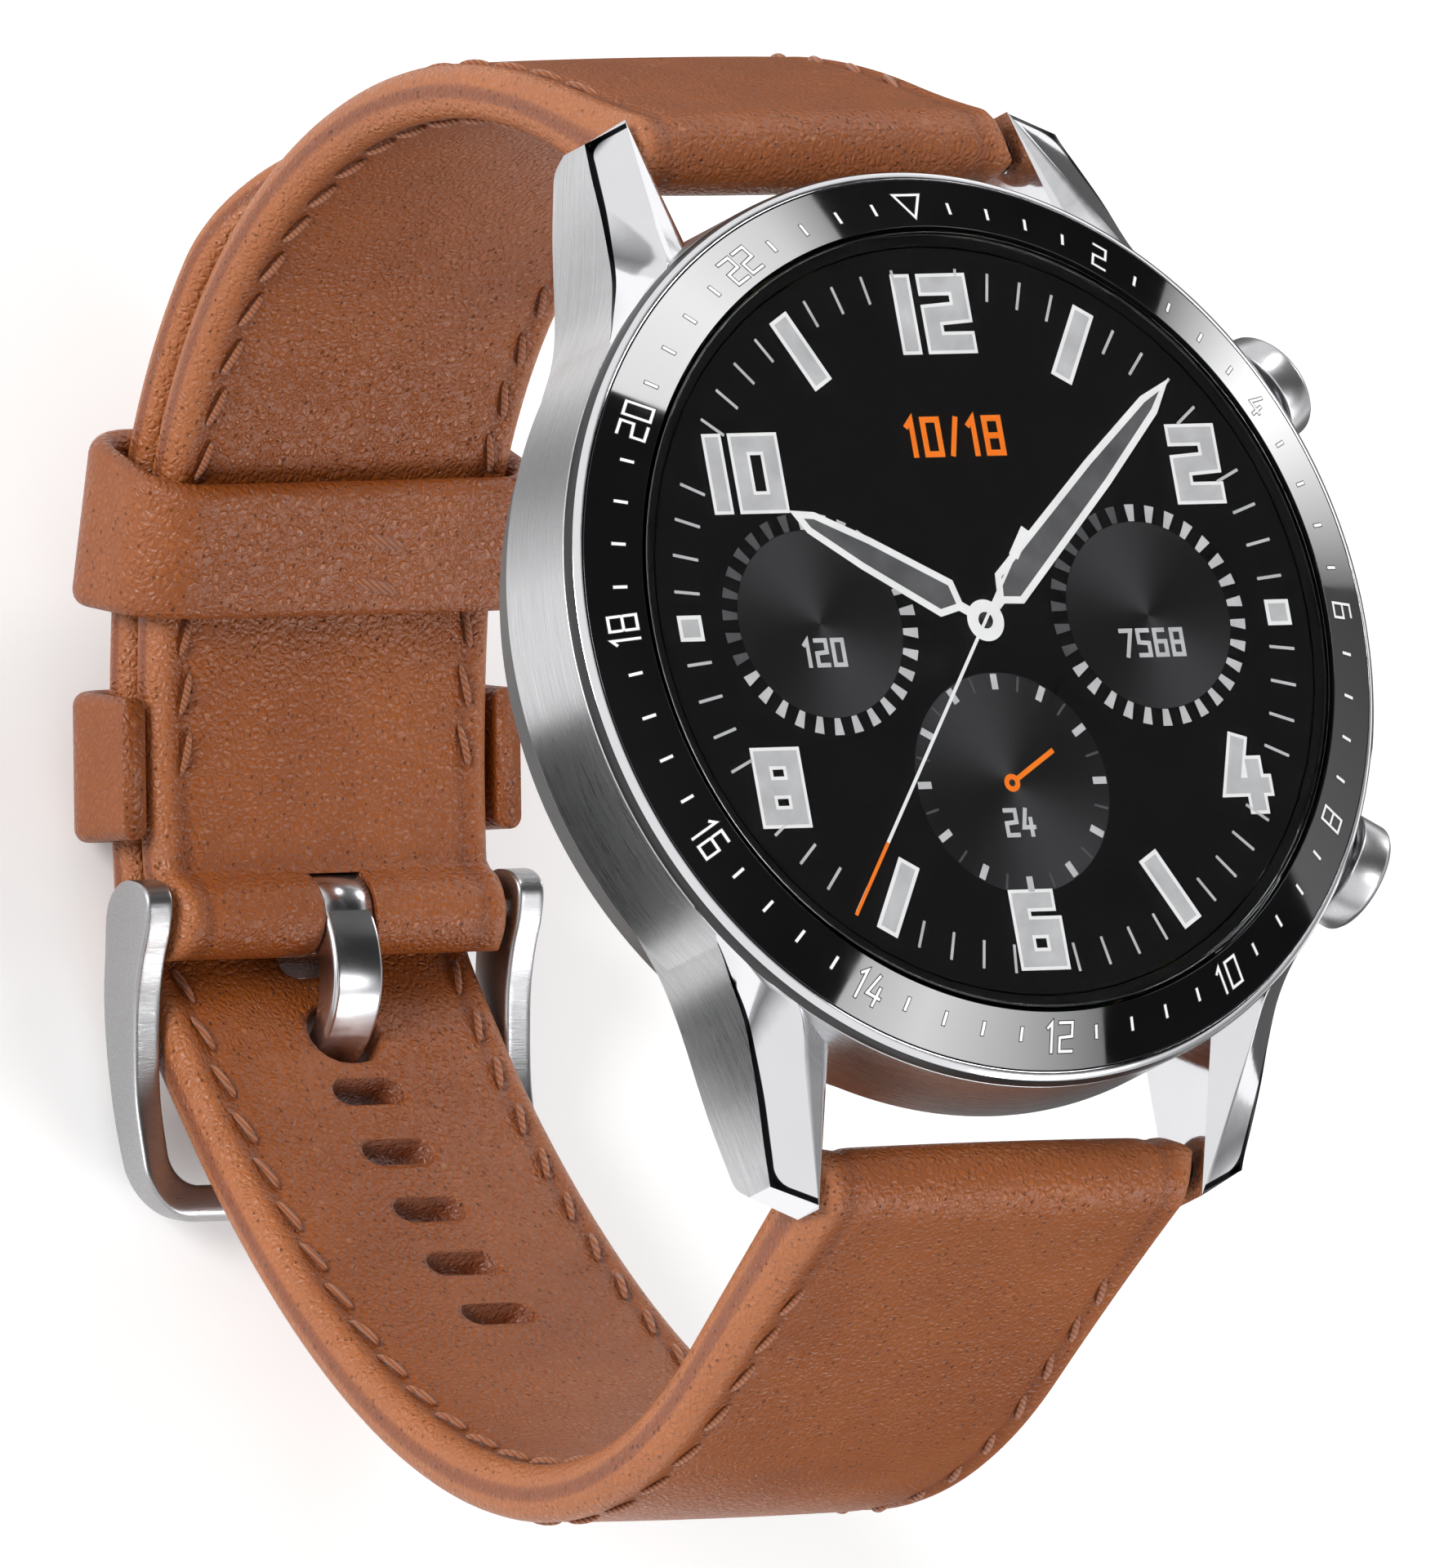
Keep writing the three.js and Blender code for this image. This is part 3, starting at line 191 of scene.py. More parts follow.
def upper_at(distance):
    """Points, headings and outward normals of the upper strap's inner face. On each run the heading grows evenly,
    so a part of it has the chord part * sin(h) / h, where h is half of the part's turn."""
    distance = np.asarray(distance, float)
    point = np.broadcast_to(UPPER_START, distance.shape + (2,)).copy()
    heading = np.full(distance.shape, UPPER_HEADING)
    left = distance.copy()
    for number, (run, turn) in enumerate(UPPER_RUNS):
        low = -np.inf if number == 0 else 0.0
        part = np.clip(left, low, run if number < len(UPPER_RUNS) - 1 else np.inf)
        half = turn * part / run / 2
        chord = part * np.sinc(half / np.pi)
        point += chord[..., None] * unit(heading + half)
        heading = heading + 2 * half
        left = left - part
    return point, heading, unit(heading + math.pi / 2)


UPPER_THICKNESS, UPPER_END_THICKNESS, UPPER_PAD = 2.85, 2.4, 14.0
FOLD_HALF_WIDTH, END_HALF_WIDTH = 10.9, 9.85


def upper_thickness(distance):
    """The upper strap's thickness: a base that thins evenly, and a pad that fades as (1 - s / 14) squared."""
    pad = np.clip(1 - distance / UPPER_PAD, 0, None) ** 2
    thinning = np.clip(distance - UPPER_PAD, 0, None) / (UPPER_LENGTH - UPPER_PAD)
    base = UPPER_THICKNESS + (UPPER_END_THICKNESS - UPPER_THICKNESS) * thinning
    return base + (2 * FOLD_RADIUS - UPPER_THICKNESS) * pad


def upper_half_width(distance):
    """The upper strap's half width, which narrows evenly from the lugs to the buckle."""
    return FOLD_HALF_WIDTH + (END_HALF_WIDTH - FOLD_HALF_WIDTH) * np.clip(distance / UPPER_LENGTH, 0, 1)


UPPER_END, UPPER_END_HEADING, BUCKLE_ASIDE = upper_at(UPPER_LENGTH)
BUCKLE_ALONG = unit(UPPER_END_HEADING)
HINGE = UPPER_END + BUCKLE_ASIDE * (UPPER_END_THICKNESS - FOLD_RADIUS)


def buckle_at(along, aside):
    """A point of the buckle's own axes, along it from the hinge bar and aside from it, away from the wrist."""
    return HINGE + np.multiply.outer(along, BUCKLE_ALONG) + np.multiply.outer(aside, BUCKLE_ASIDE)


bar_corner = [round(x / MILLIMETRE, 3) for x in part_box("buckle_bar")[0]]
print("hinge bar at", HINGE.round(3), "mm; the CAD node's low corner is at", bar_corner)

# %% The lower strap's path
LOWER_HEADING = math.radians(-116.6)
LOWER_STRAIGHT = 13.67
PRONG_ALONG, PRONG_ASIDE, PRONG_TURN = 5.74, -0.46, math.radians(-31.2)
TAIL_LENGTH, ROUND_REACH = 36.0, 3.0
LOWER_THICKNESS, TAIL_THICKNESS, LOWER_PAD = 3.0, 2.4, 24.0
TAIL_TIP, TAIL_TIP_SHARE, HOLE_PITCH, HEADING_STEP = 9.0, 0.96, 3.925, 0.25
BEND_OUT, BEND_BACK, ROUND_OUT = 0.414, 0.421, 0.5


def bezier(a, b, c, d, count=400):
    """A cubic Bezier curve through count points: (1-t)^3 a + 3 (1-t)^2 t b + 3 (1-t) t^2 c + t^3 d."""
    t = np.linspace(0, 1, count)[:, None]
    return (1 - t) ** 3 * a + 3 * (1 - t) ** 2 * t * b + 3 * (1 - t) * t**2 * c + t**3 * d


def lower_route():
    """Points of the lower strap's inner face: a straight, a bend to the tongue, a turn round it, and the tail. The
    handles of the bend and the turn are shares of the chord."""
    fold = FOLD_PLACE * [-1, 1]
    start = fold - FOLD_RADIUS * unit(LOWER_HEADING - math.pi / 2)
    bend = start + LOWER_STRAIGHT * unit(LOWER_HEADING)
    prong = buckle_at(PRONG_ALONG, PRONG_ASIDE)
    prong_heading = UPPER_END_HEADING + math.pi + PRONG_TURN
    chord = np.linalg.norm(prong - bend)
    out = bend + chord * BEND_OUT * unit(LOWER_HEADING)
    back = prong - chord * BEND_BACK * unit(prong_heading)
    tail_s = UPPER_LENGTH - ROUND_REACH - np.linspace(0, TAIL_LENGTH, 400)
    point, heading, normal = upper_at(tail_s)
    tail = point + normal * (upper_thickness(tail_s) + LEATHER_GAP)[:, None]
    turn = np.linalg.norm(tail[0] - prong) * ROUND_OUT
    turn_out, turn_in = prong + turn * unit(prong_heading), tail[0] - turn * unit(heading[0] + math.pi)
    parts = [np.linspace(start, bend, 100), bezier(bend, out, back, prong)[1:],
             bezier(prong, turn_out, turn_in, tail[0])[1:], tail[1:]]
    return np.concatenate(parts), np.cumsum([len(part) for part in parts])


route, route_ends = lower_route()
route_s = way_along(route)
LOWER_LENGTH, PRONG_S, TAIL_S = route_s[-1], route_s[route_ends[1] - 1], route_s[route_ends[2] - 1]


def lower_at(distance):
    """Points, headings and outward normals of the lower strap's inner face, read off the route by its length."""
    distance = np.asarray(distance, float)
    inside = np.clip(distance, 0, LOWER_LENGTH)
    place = lambda s: np.stack([np.interp(s, route_s, route[:, k]) for k in (0, 1)], axis=-1)
    chord = place(inside + HEADING_STEP) - place(inside - HEADING_STEP)
    heading = np.arctan2(chord[..., 1], chord[..., 0])
    point = place(inside) + (distance - inside)[..., None] * unit(heading)
    return point, heading, unit(heading - math.pi / 2)


def lower_thickness(distance):
    """The lower strap's thickness: a pad at the lug, and a smooth thinning from the tongue to the tail."""
    pad = np.clip(1 - distance / LOWER_PAD, 0, None) ** 2
    t = np.clip((distance - PRONG_S) / (TAIL_S - PRONG_S), 0, 1)
    base = LOWER_THICKNESS + (TAIL_THICKNESS - LOWER_THICKNESS) * t * t * (3 - 2 * t)
    return base + (2 * FOLD_RADIUS - LOWER_THICKNESS) * pad


def lower_half_width(distance):
    """The lower strap's half width: even narrowing, then a tip that closes like an ellipse."""
    share = np.clip(distance / (PRONG_S - HOLE_PITCH), 0, 1)
    half = FOLD_HALF_WIDTH + (END_HALF_WIDTH - FOLD_HALF_WIDTH) * share
    tip = np.clip(distance - LOWER_LENGTH + TAIL_TIP, 0, TAIL_TIP) / TAIL_TIP
    return half * np.sqrt(1 - (tip * TAIL_TIP_SHARE) ** 2)


print("upper strap", round(UPPER_LENGTH, 2), "mm, lower strap", round(LOWER_LENGTH, 2), "mm")

# %% [markdown]
# ## Leather straps
# A strap half is a soft band: two skins whose edges meet in a bead, a shallow channel where the thread pulls
# the leather down, and a slight crown between the channels. Its section changes along the way, so it is
# carried along the path as one grid, and the fold at its end is the place where the two skins form a roll.

# %% The section of a strap
EDGE_CHANNEL, CHANNEL_WIDTH, CHANNEL_DEPTH, CROWN = 1.75, 0.42, 0.16, 0.096
BEAD_WIDTH, BEAD_SHARE, BEAD_POWER, SKIN_SINK = 1.15, 1.1, 2.3, 0.06
ROLL_STATIONS, EASING = 14, 0.25


def strap_grid(path, distances, half, low, high, across=52):
    """The grid of a strap. A line across has x = w sin(t), so it is finest at the edges. At a depth e from the edge
    each skin rises as a quarter of a rounded square, sinks at the stitch channel and swells a little between."""
    t = np.linspace(-np.pi / 2, np.pi / 2, across + 1)[None, :]
    w, low, high = (np.broadcast_to(v, distances.shape)[:, None] for v in (half, low, high))
    x = w * np.sin(t)
    edge = np.clip(w - np.abs(x), 0, None)
    middle, reach = (low + high) / 2, (high - low) / 2
    bead = np.minimum(BEAD_WIDTH, reach * BEAD_SHARE)
    rise = (1 - (1 - np.clip(edge / bead, 0, 1)) ** BEAD_POWER) ** (1 / BEAD_POWER)
    channel = CHANNEL_DEPTH * np.exp(-(((edge - EDGE_CHANNEL) / CHANNEL_WIDTH) ** 2))
    inner = np.clip(w - EDGE_CHANNEL, 0.5, None)
    crown = CROWN * np.clip(1 - (x / inner) ** 2, 0, None)
    fade = np.clip(reach, 0, 1)
    skin = reach * rise + (crown - channel - SKIN_SINK) * fade
    skin = np.where(edge < 1e-9, 0, np.clip(skin, 0, None))
    upper, under = middle + skin, middle - skin
    loop_x = np.concatenate([x, x[:, -2:0:-1]], axis=1)
    loop_h = np.concatenate([upper, under[:, -2:0:-1]], axis=1)
    point, _, normal = path(distances)
    place = point[:, None, :] + loop_h[..., None] * normal[:, None, :]
    return np.concatenate([loop_x[..., None], place], axis=-1), w - np.abs(loop_x)


def fold_stations(length, step):
    """Distances from the far side of the lug's roll to the strap's end, crowded where the roll turns."""
    turn = -FOLD_RADIUS * np.cos(np.linspace(0, np.pi / 2, ROLL_STATIONS))
    return np.concatenate([turn[:-1], np.linspace(0, length, int(length / step) + 1)])


def roll_half(distance, centre):
    """Half the height of a roll of leather at a distance along the strap: the root of r squared less d squared."""
    return np.sqrt(np.clip(FOLD_RADIUS**2 - (distance - centre) ** 2, 0, None))


def lug_roll(along, high):
    """The lowest and highest places of a strap: its inner face is at 0, and before the start it is a roll."""
    reach = roll_half(along, 0)
    return np.where(along < 0, FOLD_RADIUS - reach, 0.0), np.where(along < 0, FOLD_RADIUS + reach, high)


# %% The upper strap
def upper_strap_grid():
    """The upper half: a roll at the lug, the padded band, and a roll round the buckle's bar. The inner face eases
    into that roll by a soft minimum, -s log(exp(-h / s) + 1)."""
    end_turn = UPPER_LENGTH + FOLD_RADIUS * np.sin(np.linspace(0, np.pi / 2, ROLL_STATIONS))[1:]
    along = np.concatenate([fold_stations(UPPER_LENGTH, step=0.4), end_turn])
    low, high = lug_roll(along, upper_thickness(np.clip(along, 0, UPPER_LENGTH)))
    centre = UPPER_END_THICKNESS - FOLD_RADIUS
    reach = roll_half(along, UPPER_LENGTH)
    eased = -EASING * np.log(np.exp(-np.minimum(centre - reach, 3) / EASING) + 1)
    low = np.where(along > UPPER_LENGTH - FOLD_RADIUS, eased, low)
    beyond = along > UPPER_LENGTH
    low, high = np.where(beyond, centre - reach, low), np.where(beyond, centre + reach, high)
    return strap_grid(upper_at, along, upper_half_width(along), low, high)


def apply_cut(piece, cutters):
    """Cuts pieces out of another with exact booleans, and throws the cutters away."""
    for cutter in cutters:
        cut = piece.modifiers.new("cut", "BOOLEAN")
        cut.operation, cut.object, cut.solver = "DIFFERENCE", cutter, "EXACT"
    bpy.context.view_layer.update()
    cut_mesh = bpy.data.meshes.new_from_object(piece.evaluated_get(bpy.context.evaluated_depsgraph_get()))
    piece.modifiers.clear()
    piece.data = cut_mesh
    for cutter in cutters:
        bpy.data.objects.remove(cutter)
    return piece


def buckle_box(name, half, along, aside):
    """A box on the buckle's axes, between two places along its line and two places aside from it."""
    ring = np.array([buckle_at(along[a], aside[b]) for a, b in ((0, 0), (1, 0), (1, 1), (0, 1))])
    grid = np.stack([np.column_stack([np.full(4, x), ring]) for x in (-half, half)])
    return tube(name, grid, smooth=False)


TONGUE_WIDTH, NOTCH_GAP, NOTCH_ALONG, NOTCH_ASIDE = 2.9, 0.1, (-1.98, 2.4), (-2.4, 2.6)
grid, edge_depth = upper_strap_grid()
upper_strap = tube("upper_strap_leather", grid, caps=False, values={"edge_depth": edge_depth})
notch = buckle_box("notch", TONGUE_WIDTH / 2 + NOTCH_GAP, NOTCH_ALONG, NOTCH_ASIDE)
apply_cut(upper_strap, [notch])
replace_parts(upper_strap, "strap_upper")
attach(upper_strap, "watch")
print("upper strap:", len(upper_strap.data.polygons), "faces")

# %% The lower strap
HOLE_WIDTH, HOLE_LENGTH, PRONG_HOLE_LENGTH, PRONG_HOLE_SHIFT = 4.15, 1.7, 3.6, 0.35
TIP_THINNING, DRILL_HEIGHTS = 0.9, (-1.5, 4.5)


def lower_strap_grid():
    """The lower half: a roll at the lug, the band, and a tail whose tip thins as 1 - 3/4 t^3."""
    along = fold_stations(LOWER_LENGTH, step=0.42)
    low, high = lug_roll(along, lower_thickness(np.clip(along, 0, None)))
    tip = np.clip((along - LOWER_LENGTH + TIP_THINNING) / TIP_THINNING, 0, 1)
    middle, half = (low + high) / 2, (high - low) / 2 * (1 - 0.75 * tip**3)
    return strap_grid(lower_at, along, lower_half_width(along), middle - half, middle + half)


def stadium(length, width, count=10):
    """The outline of a hole: two half circles of the hole's length, joined by straights, as points (x, along)."""
    a = np.linspace(-np.pi / 2, np.pi / 2, count)
    reach = (width - length) / 2
    right = np.column_stack([reach + length / 2 * np.cos(a), length / 2 * np.sin(a)])
    return np.concatenate([right, -right])


def on_lower(outline, distance, height):
    """Points (x, along) on a plane square to the lower strap's skin, at a height over its inner face."""
    point, heading, normal = lower_at(distance)
    place = point + outline[:, 1:] * unit(heading) + np.multiply.outer(np.full(len(outline), height), normal)
    return np.column_stack([outline[:, 0], place])


holes = [(PRONG_S - PRONG_HOLE_SHIFT, PRONG_HOLE_LENGTH)]
holes += [(PRONG_S + k * HOLE_PITCH, HOLE_LENGTH) for k in (-1, -2, -3, -4, -5, 1, 2)]
grid, edge_depth = lower_strap_grid()
lower_strap = tube("lower_strap_leather", grid, values={"edge_depth": edge_depth})
drills = []
for distance, length in holes:
    outline = stadium(length, HOLE_WIDTH)
    drills.append(tube("drill", np.stack([on_lower(outline, distance, height) for height in DRILL_HEIGHTS])))
apply_cut(lower_strap, drills)
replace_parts(lower_strap, "strap_lower")
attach(lower_strap, "watch")
print("lower strap:", len(lower_strap.data.polygons), "faces")

# %% [markdown]
# ## Keepers
# A keeper is a strip of leather bent round the straps. Its line is a rounded rectangle in the plane across the
# strap, and its section a flat rounded bar. The free keeper goes all the way round and slides; the fixed one
# is a U whose ends are sewn to the upper strap.

# %% Keeper bands
KEEPER_THICKNESS, KEEPER_GAP, KEEPER_CORNER, KEEPER_EDGE, KEEPER_FOOT = 1.35, 0.45, 2.4, 0.66, 0.35
FREE_KEEPER_START, FREE_KEEPER_WIDTH = 48.6, 7.1
FIXED_KEEPER_START, FIXED_KEEPER_WIDTH = 59.7, 7.0


def round_corners(half, low, high, r, count):
    """The four corners of a rectangle, each a quarter of a circle of radius r: points and outward normals."""
    arc = np.linspace(0, np.pi / 2, count)
    normals = [np.column_stack([np.cos(a), np.sin(a)]) for a in (arc + quarter * np.pi / 2 for quarter in range(4))]
    centres = [(half - r, high - r), (r - half, high - r), (r - half, low + r), (half - r, low + r)]
    return [np.array(centre) + r * normal for centre, normal in zip(centres, normals)], normals


def bar_section(width, thickness, edge=0.55, count=7):
    """A closed outline with rounded corners: points (a, b), with a across the width and b through the thickness."""
    r = min(edge, thickness / 2 - 0.01)
    return np.concatenate(round_corners(width / 2, -thickness / 2, thickness / 2, r, count)[0])


def keeper_line(half, low, high, corner, closed):
    """The line of a keeper across the strap: 180 even points (x, h) and outward normals. A closed one goes round
    all four corners, an open one round the outer two, from one end on the strap to the other."""
    places, normals = round_corners(half, low, high, corner, 9)
    if closed:
        places.append(places[0][:1]), normals.append(normals[0][:1])
    else:
        places, normals = [[[half, low]], *places[:2], [[-half, low]]], [[[1.0, 0]], *normals[:2], [[-1.0, 0]]]
    places, normals = np.concatenate(places), np.concatenate(normals)
    length = way_along(places)
    fine = np.linspace(0, length[-1], 180)
    line, normal = (np.column_stack([np.interp(fine, length, v[:, k]) for k in (0, 1)]) for v in (places, normals))
    return (line[:-1], directions(normal[:-1])) if closed else (line, directions(normal))


def keeper(name, start, length, closed):
    """A keeper: every point of its line carries the bar section, and the strap's path bends the whole band."""
    middle = start + length / 2
    reach = KEEPER_GAP + KEEPER_THICKNESS / 2
    high = upper_thickness(middle) + LEATHER_GAP + TAIL_THICKNESS + reach
    low = -reach if closed else KEEPER_FOOT
    line, normal = keeper_line(upper_half_width(middle) + reach, low, high, KEEPER_CORNER, closed)
    section = bar_section(length, KEEPER_THICKNESS, KEEPER_EDGE)
    x, h = (line[:, None, k] + section[None, :, 1] * normal[:, None, k] for k in (0, 1))
    point, _, out = upper_at(np.broadcast_to(middle + section[None, :, 0], x.shape))
    place = point + h[..., None] * out
    return tube(name, np.concatenate([x[..., None], place], axis=-1), wrap_rows=closed)


free_keeper = keeper("free_keeper_leather", FREE_KEEPER_START, FREE_KEEPER_WIDTH, True)
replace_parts(free_keeper, "free_keeper")
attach(free_keeper, "free_keeper")
fixed_keeper = keeper("fixed_keeper_leather", FIXED_KEEPER_START, FIXED_KEEPER_WIDTH, False)
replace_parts(fixed_keeper, "fixed_keeper")
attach(fixed_keeper, "watch")
for piece in (free_keeper, fixed_keeper):
    print(piece.name, len(piece.data.polygons), "faces")

# %% [markdown]
# ## Threads
# A stitch is a short, slightly slanted thread that dips into the leather at both ends. Each one is a small
# spindle: an ellipse swept round its own line, thickest in the middle. One line of them runs along each edge of
# both faces of a strap half.

# %% Stitches
STITCH_PITCH, STITCH_LENGTH, STITCH_THICKNESS, STITCH_BOW = 2.95, 2.3, 0.34, 0.14
INNER_SINK, OUTER_SINK, TAIL_SINK, SLANT = 0.07, 0.19, 0.07, 0.26
FIRST_STITCH, UPPER_UNSEWN, LOWER_UNSEWN = 5.0, 5.5, 8.0


def spindles(middles, along, out, length, thickness, rings=9, sides=8):
    """Spindles at many places at once: for t from -1 to 1 the radius is thickness / 2 times the root of 1 - |t|^3,
    and the line bows outwards by (1 - t^2) times a stitch's bow."""
    t = np.linspace(-1, 1, rings)
    radius = thickness / 2 * np.sqrt(np.clip(1 - np.abs(t) ** 3, 0, 1))
    angle = full_turn(sides)
    side = np.cross(along, out)
    bow = STITCH_BOW * (1 - t**2)[:, None] * out[:, None]
    line = middles[:, None] + t[:, None] * length / 2 * along[:, None] + bow
    circle = np.cos(angle)[:, None] * side[:, None, None] + np.sin(angle)[:, None] * out[:, None, None]
    points = line[:, :, None] + radius[:, None, None] * circle
    count = len(middles)
    faces = np.concatenate([grid_faces(rings, sides, False, True, k * rings * sides) for k in range(count)])
    return points.reshape(-1, 3), faces


def stitch_line(path, start, end, offset, height, slant):
    """Middles, directions and outward normals of stitches along a path, at an offset from its middle and a height
    over its inner face."""
    s = start + STITCH_PITCH * (np.arange(int((end - start) / STITCH_PITCH)) + 0.5)
    point, heading, normal = path(s)
    high = height(s)[:, None]
    middle = np.column_stack([offset(s), point + normal * high])
    forward = directions(np.column_stack([np.full(len(s), slant), unit(heading)]))
    return middle, forward, np.column_stack([0 * s, normal]) * np.where(high > 0.5, 1.0, -1.0)


def stitching(name, path, end, half_width, outer_height):
    """The stitches of a strap half as one piece: a line along both edges of its inner face and of its outer one."""
    lines = []
    for side in (-1, 1):
        for height in (lambda s: 0 * s + INNER_SINK, outer_height):
            at_edge = lambda s: side * (half_width(s) - EDGE_CHANNEL)
            lines.append(stitch_line(path, FIRST_STITCH, end, at_edge, height, side * SLANT))
    middles, along, out = (np.concatenate(part) for part in zip(*lines))
    points, faces = spindles(middles, along, out, STITCH_LENGTH, STITCH_THICKNESS)
    piece = make_piece(name, points, [faces])
    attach(piece, "watch")
    print(name, len(middles), "stitches")
    return piece


# Two heavier stitches close the free keeper on its inner side.
point, _, normal = upper_at(np.array([51.7, 54.1]))
middles = np.column_stack([[1.75, 1.5], point - normal * (KEEPER_GAP + KEEPER_THICKNESS - 0.02)])
across = directions(np.column_stack([[0.97, 0.97], 0.24 * normal[:, 1], -0.24 * normal[:, 0]]))
points, faces = spindles(middles, across, np.column_stack([[0, 0], -normal]), 2.7, 0.6)
keeper_thread = make_piece("free_keeper_thread", points, [faces])
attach(keeper_thread, "free_keeper")
upper_thread = stitching("upper_strap_thread", upper_at, UPPER_LENGTH - UPPER_UNSEWN, upper_half_width,
                         lambda s: upper_thickness(s) - OUTER_SINK)
lower_thread = stitching("lower_strap_thread", lower_at, LOWER_LENGTH - LOWER_UNSEWN, lower_half_width,
                         lambda s: lower_thickness(s) - OUTER_SINK - TAIL_SINK * (s > TAIL_S))

# %% [markdown]
# ## The buckle
# The frame is one U of metal: two cheeks and a far bar. It is carried along its plan line, and at every point
# its top and bottom follow the side outline of the cheeks. The tongue is a bent flat bar with a knuckle.

# %% The buckle's frame
BUCKLE_LENGTH, CHEEK_THICKNESS, FAR_BAR = 15.0, 1.55, 1.8
CHEEK_INNER = END_HALF_WIDTH + LEATHER_GAP
OUTER_CORNER, INNER_CORNER = 3.0, 1.6
CHEEK_SHARES = np.array([
    (-0.06, -0.12), (0.043, -0.098), (0.134, -0.053), (0.25, -0.012), (0.367, 0.009), (0.6, 0.028), (0.88, -0.007),
    (0.98, 0), (1, 0.03), (0.98, 0.08), (0.893, 0.113), (0.667, 0.171), (0.45, 0.195), (0.254, 0.192), (0.1, 0.167),
    (-0.06, 0.13), (-0.12, 0.06), (-0.13, -0.02), (-0.105, -0.09),
])
TONGUE_SHARES = np.array([
    (0.02, -0.067, 0.133), (0.113, -0.103, 0.123), (0.213, -0.112, 0.117), (0.303, -0.09, 0.107),
    (0.383, -0.043, 0.093), (0.45, 0.023, 0.087), (0.513, 0.083, 0.083), (0.593, 0.117, 0.08),
    (0.733, 0.123, 0.077), (0.867, 0.113, 0.073), (0.973, 0.1, 0.067),
])
KNUCKLE_PROFILE = [(-1.45, 1.8), (-1.35, 1.95), (1.35, 1.95), (1.45, 1.8)]


def smooth_line(points, closed=False, count=600):
    """A curve through points, as a centripetal Catmull-Rom spline: knots grow by the root of each chord."""
    points = np.asarray(points, float)
    if closed:
        points = np.vstack([points[-1:], points, points[:2]])
    else:
        points = np.vstack([2 * points[0] - points[1], points, 2 * points[-1] - points[-2]])
    knots = way_along(points, 0.5)
    out = []
    for k in range(1, len(points) - 2):
        t = np.linspace(knots[k], knots[k + 1], count // (len(points) - 3), endpoint=False)[:, None]
        p, u = points[k - 1:k + 3], knots[k - 1:k + 3]
        mix = lambda a, b, i, j: (u[j] - t) / (u[j] - u[i]) * a + (t - u[i]) / (u[j] - u[i]) * b
        a1, a2, a3 = mix(p[0], p[1], 0, 1), mix(p[1], p[2], 1, 2), mix(p[2], p[3], 2, 3)
        b1, b2 = mix(a1, a2, 0, 2), mix(a2, a3, 1, 3)
        out.append(mix(b1, b2, 1, 2))
    line = np.concatenate(out)
    return line if closed else np.vstack([line, points[-2]])


cheek_outline = smooth_line(CHEEK_SHARES, closed=True) * BUCKLE_LENGTH
HEEL = cheek_outline[:, 0].min()
from_heel = np.roll(cheek_outline, -cheek_outline[:, 0].argmin(), axis=0)
toe_at = from_heel[:, 0].argmax()
both_sides = from_heel[:toe_at + 1], np.vstack([from_heel[toe_at:], from_heel[:1]])[::-1]
under_side, over_side = sorted(both_sides, key=lambda side: side[:, 1].mean())


def cheek_heights(along):
    """The cheek's lowest and highest places aside from the buckle's line, at a distance along it."""
    return [np.interp(along, np.maximum.accumulate(side[:, 0]), side[:, 1]) for side in (under_side, over_side)]


def frame_plan(across, count=26):
    """The U of the frame in plan, at a share from its inner line (0) to its outer one (1): points (x, along). The
    stations along a cheek are crowded at its heel, as 1 - cos t is."""
    half = CHEEK_INNER + CHEEK_THICKNESS * across
    far = BUCKLE_LENGTH - FAR_BAR * (1 - across)
    corner = INNER_CORNER + (OUTER_CORNER - INNER_CORNER) * across
    heel = HEEL + 0.002
    nose = heel + (far - corner - heel) * (1 - np.cos(np.linspace(0, np.pi / 2, 40)))
    arc = np.linspace(0, np.pi / 2, count)
    side = np.column_stack([np.full(40, half), nose])
    turn = np.column_stack([half - corner + corner * np.cos(arc), far - corner + corner * np.sin(arc)])
    middle = np.column_stack([np.linspace(half - corner, 0, 24), np.full(24, far)])
    right = np.concatenate([side, turn[1:], middle[1:]])
    return np.concatenate([right, right[-2::-1] * [-1, 1]])


def buckle_frame_grid(edge=0.22, count=5):
    """The frame: across each station runs a section whose ends follow the cheek outline, with rounded edges."""
    turn = np.linspace(0, np.pi / 2, count)
    share_edge = edge / CHEEK_THICKNESS
    near = share_edge * (1 - np.cos(turn))
    shares = np.concatenate([near, np.linspace(share_edge, 1 - share_edge, 7)[1:-1], (1 - near)[::-1]])
    drop = np.concatenate([1 - np.sin(turn), np.zeros(5), (1 - np.sin(turn))[::-1]])
    lines = np.stack([frame_plan(share) for share in shares], axis=1)
    low, high = cheek_heights(lines[..., 1])
    round_off = np.minimum(edge, (high - low) * 0.45) * drop
    top, bottom = (np.dstack([lines, height]) for height in (high - round_off, low + round_off))
    loop = np.concatenate([top, bottom[:, ::-1]], axis=1)
    place = buckle_at(loop[..., 1], loop[..., 2])
    return np.concatenate([loop[..., :1], place], axis=-1)


buckle = tube("buckle_frame_metal", buckle_frame_grid())
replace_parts(buckle, "buckle_frame")
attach(buckle, "buckle")
print("buckle frame:", len(buckle.data.polygons), "faces")

# %% The buckle's tongue
def tongue_grid():
    """The tongue: a flat bar with rounded edges, whose thickness follows the middle line's own table."""
    line = smooth_line(TONGUE_SHARES, count=300) * BUCKLE_LENGTH
    step = np.gradient(line[:, :2], axis=0)
    across = unit(np.arctan2(step[:, 1], step[:, 0]) + math.pi / 2)
    rows = []
    for point, normal, thickness in zip(line[:, :2], across, line[:, 2]):
        section = bar_section(TONGUE_WIDTH, thickness, 0.3, 5)
        rows.append(np.column_stack([section[:, 0], buckle_at(*(point + section[:, 1:] * normal).T)]))
    return np.array(rows)


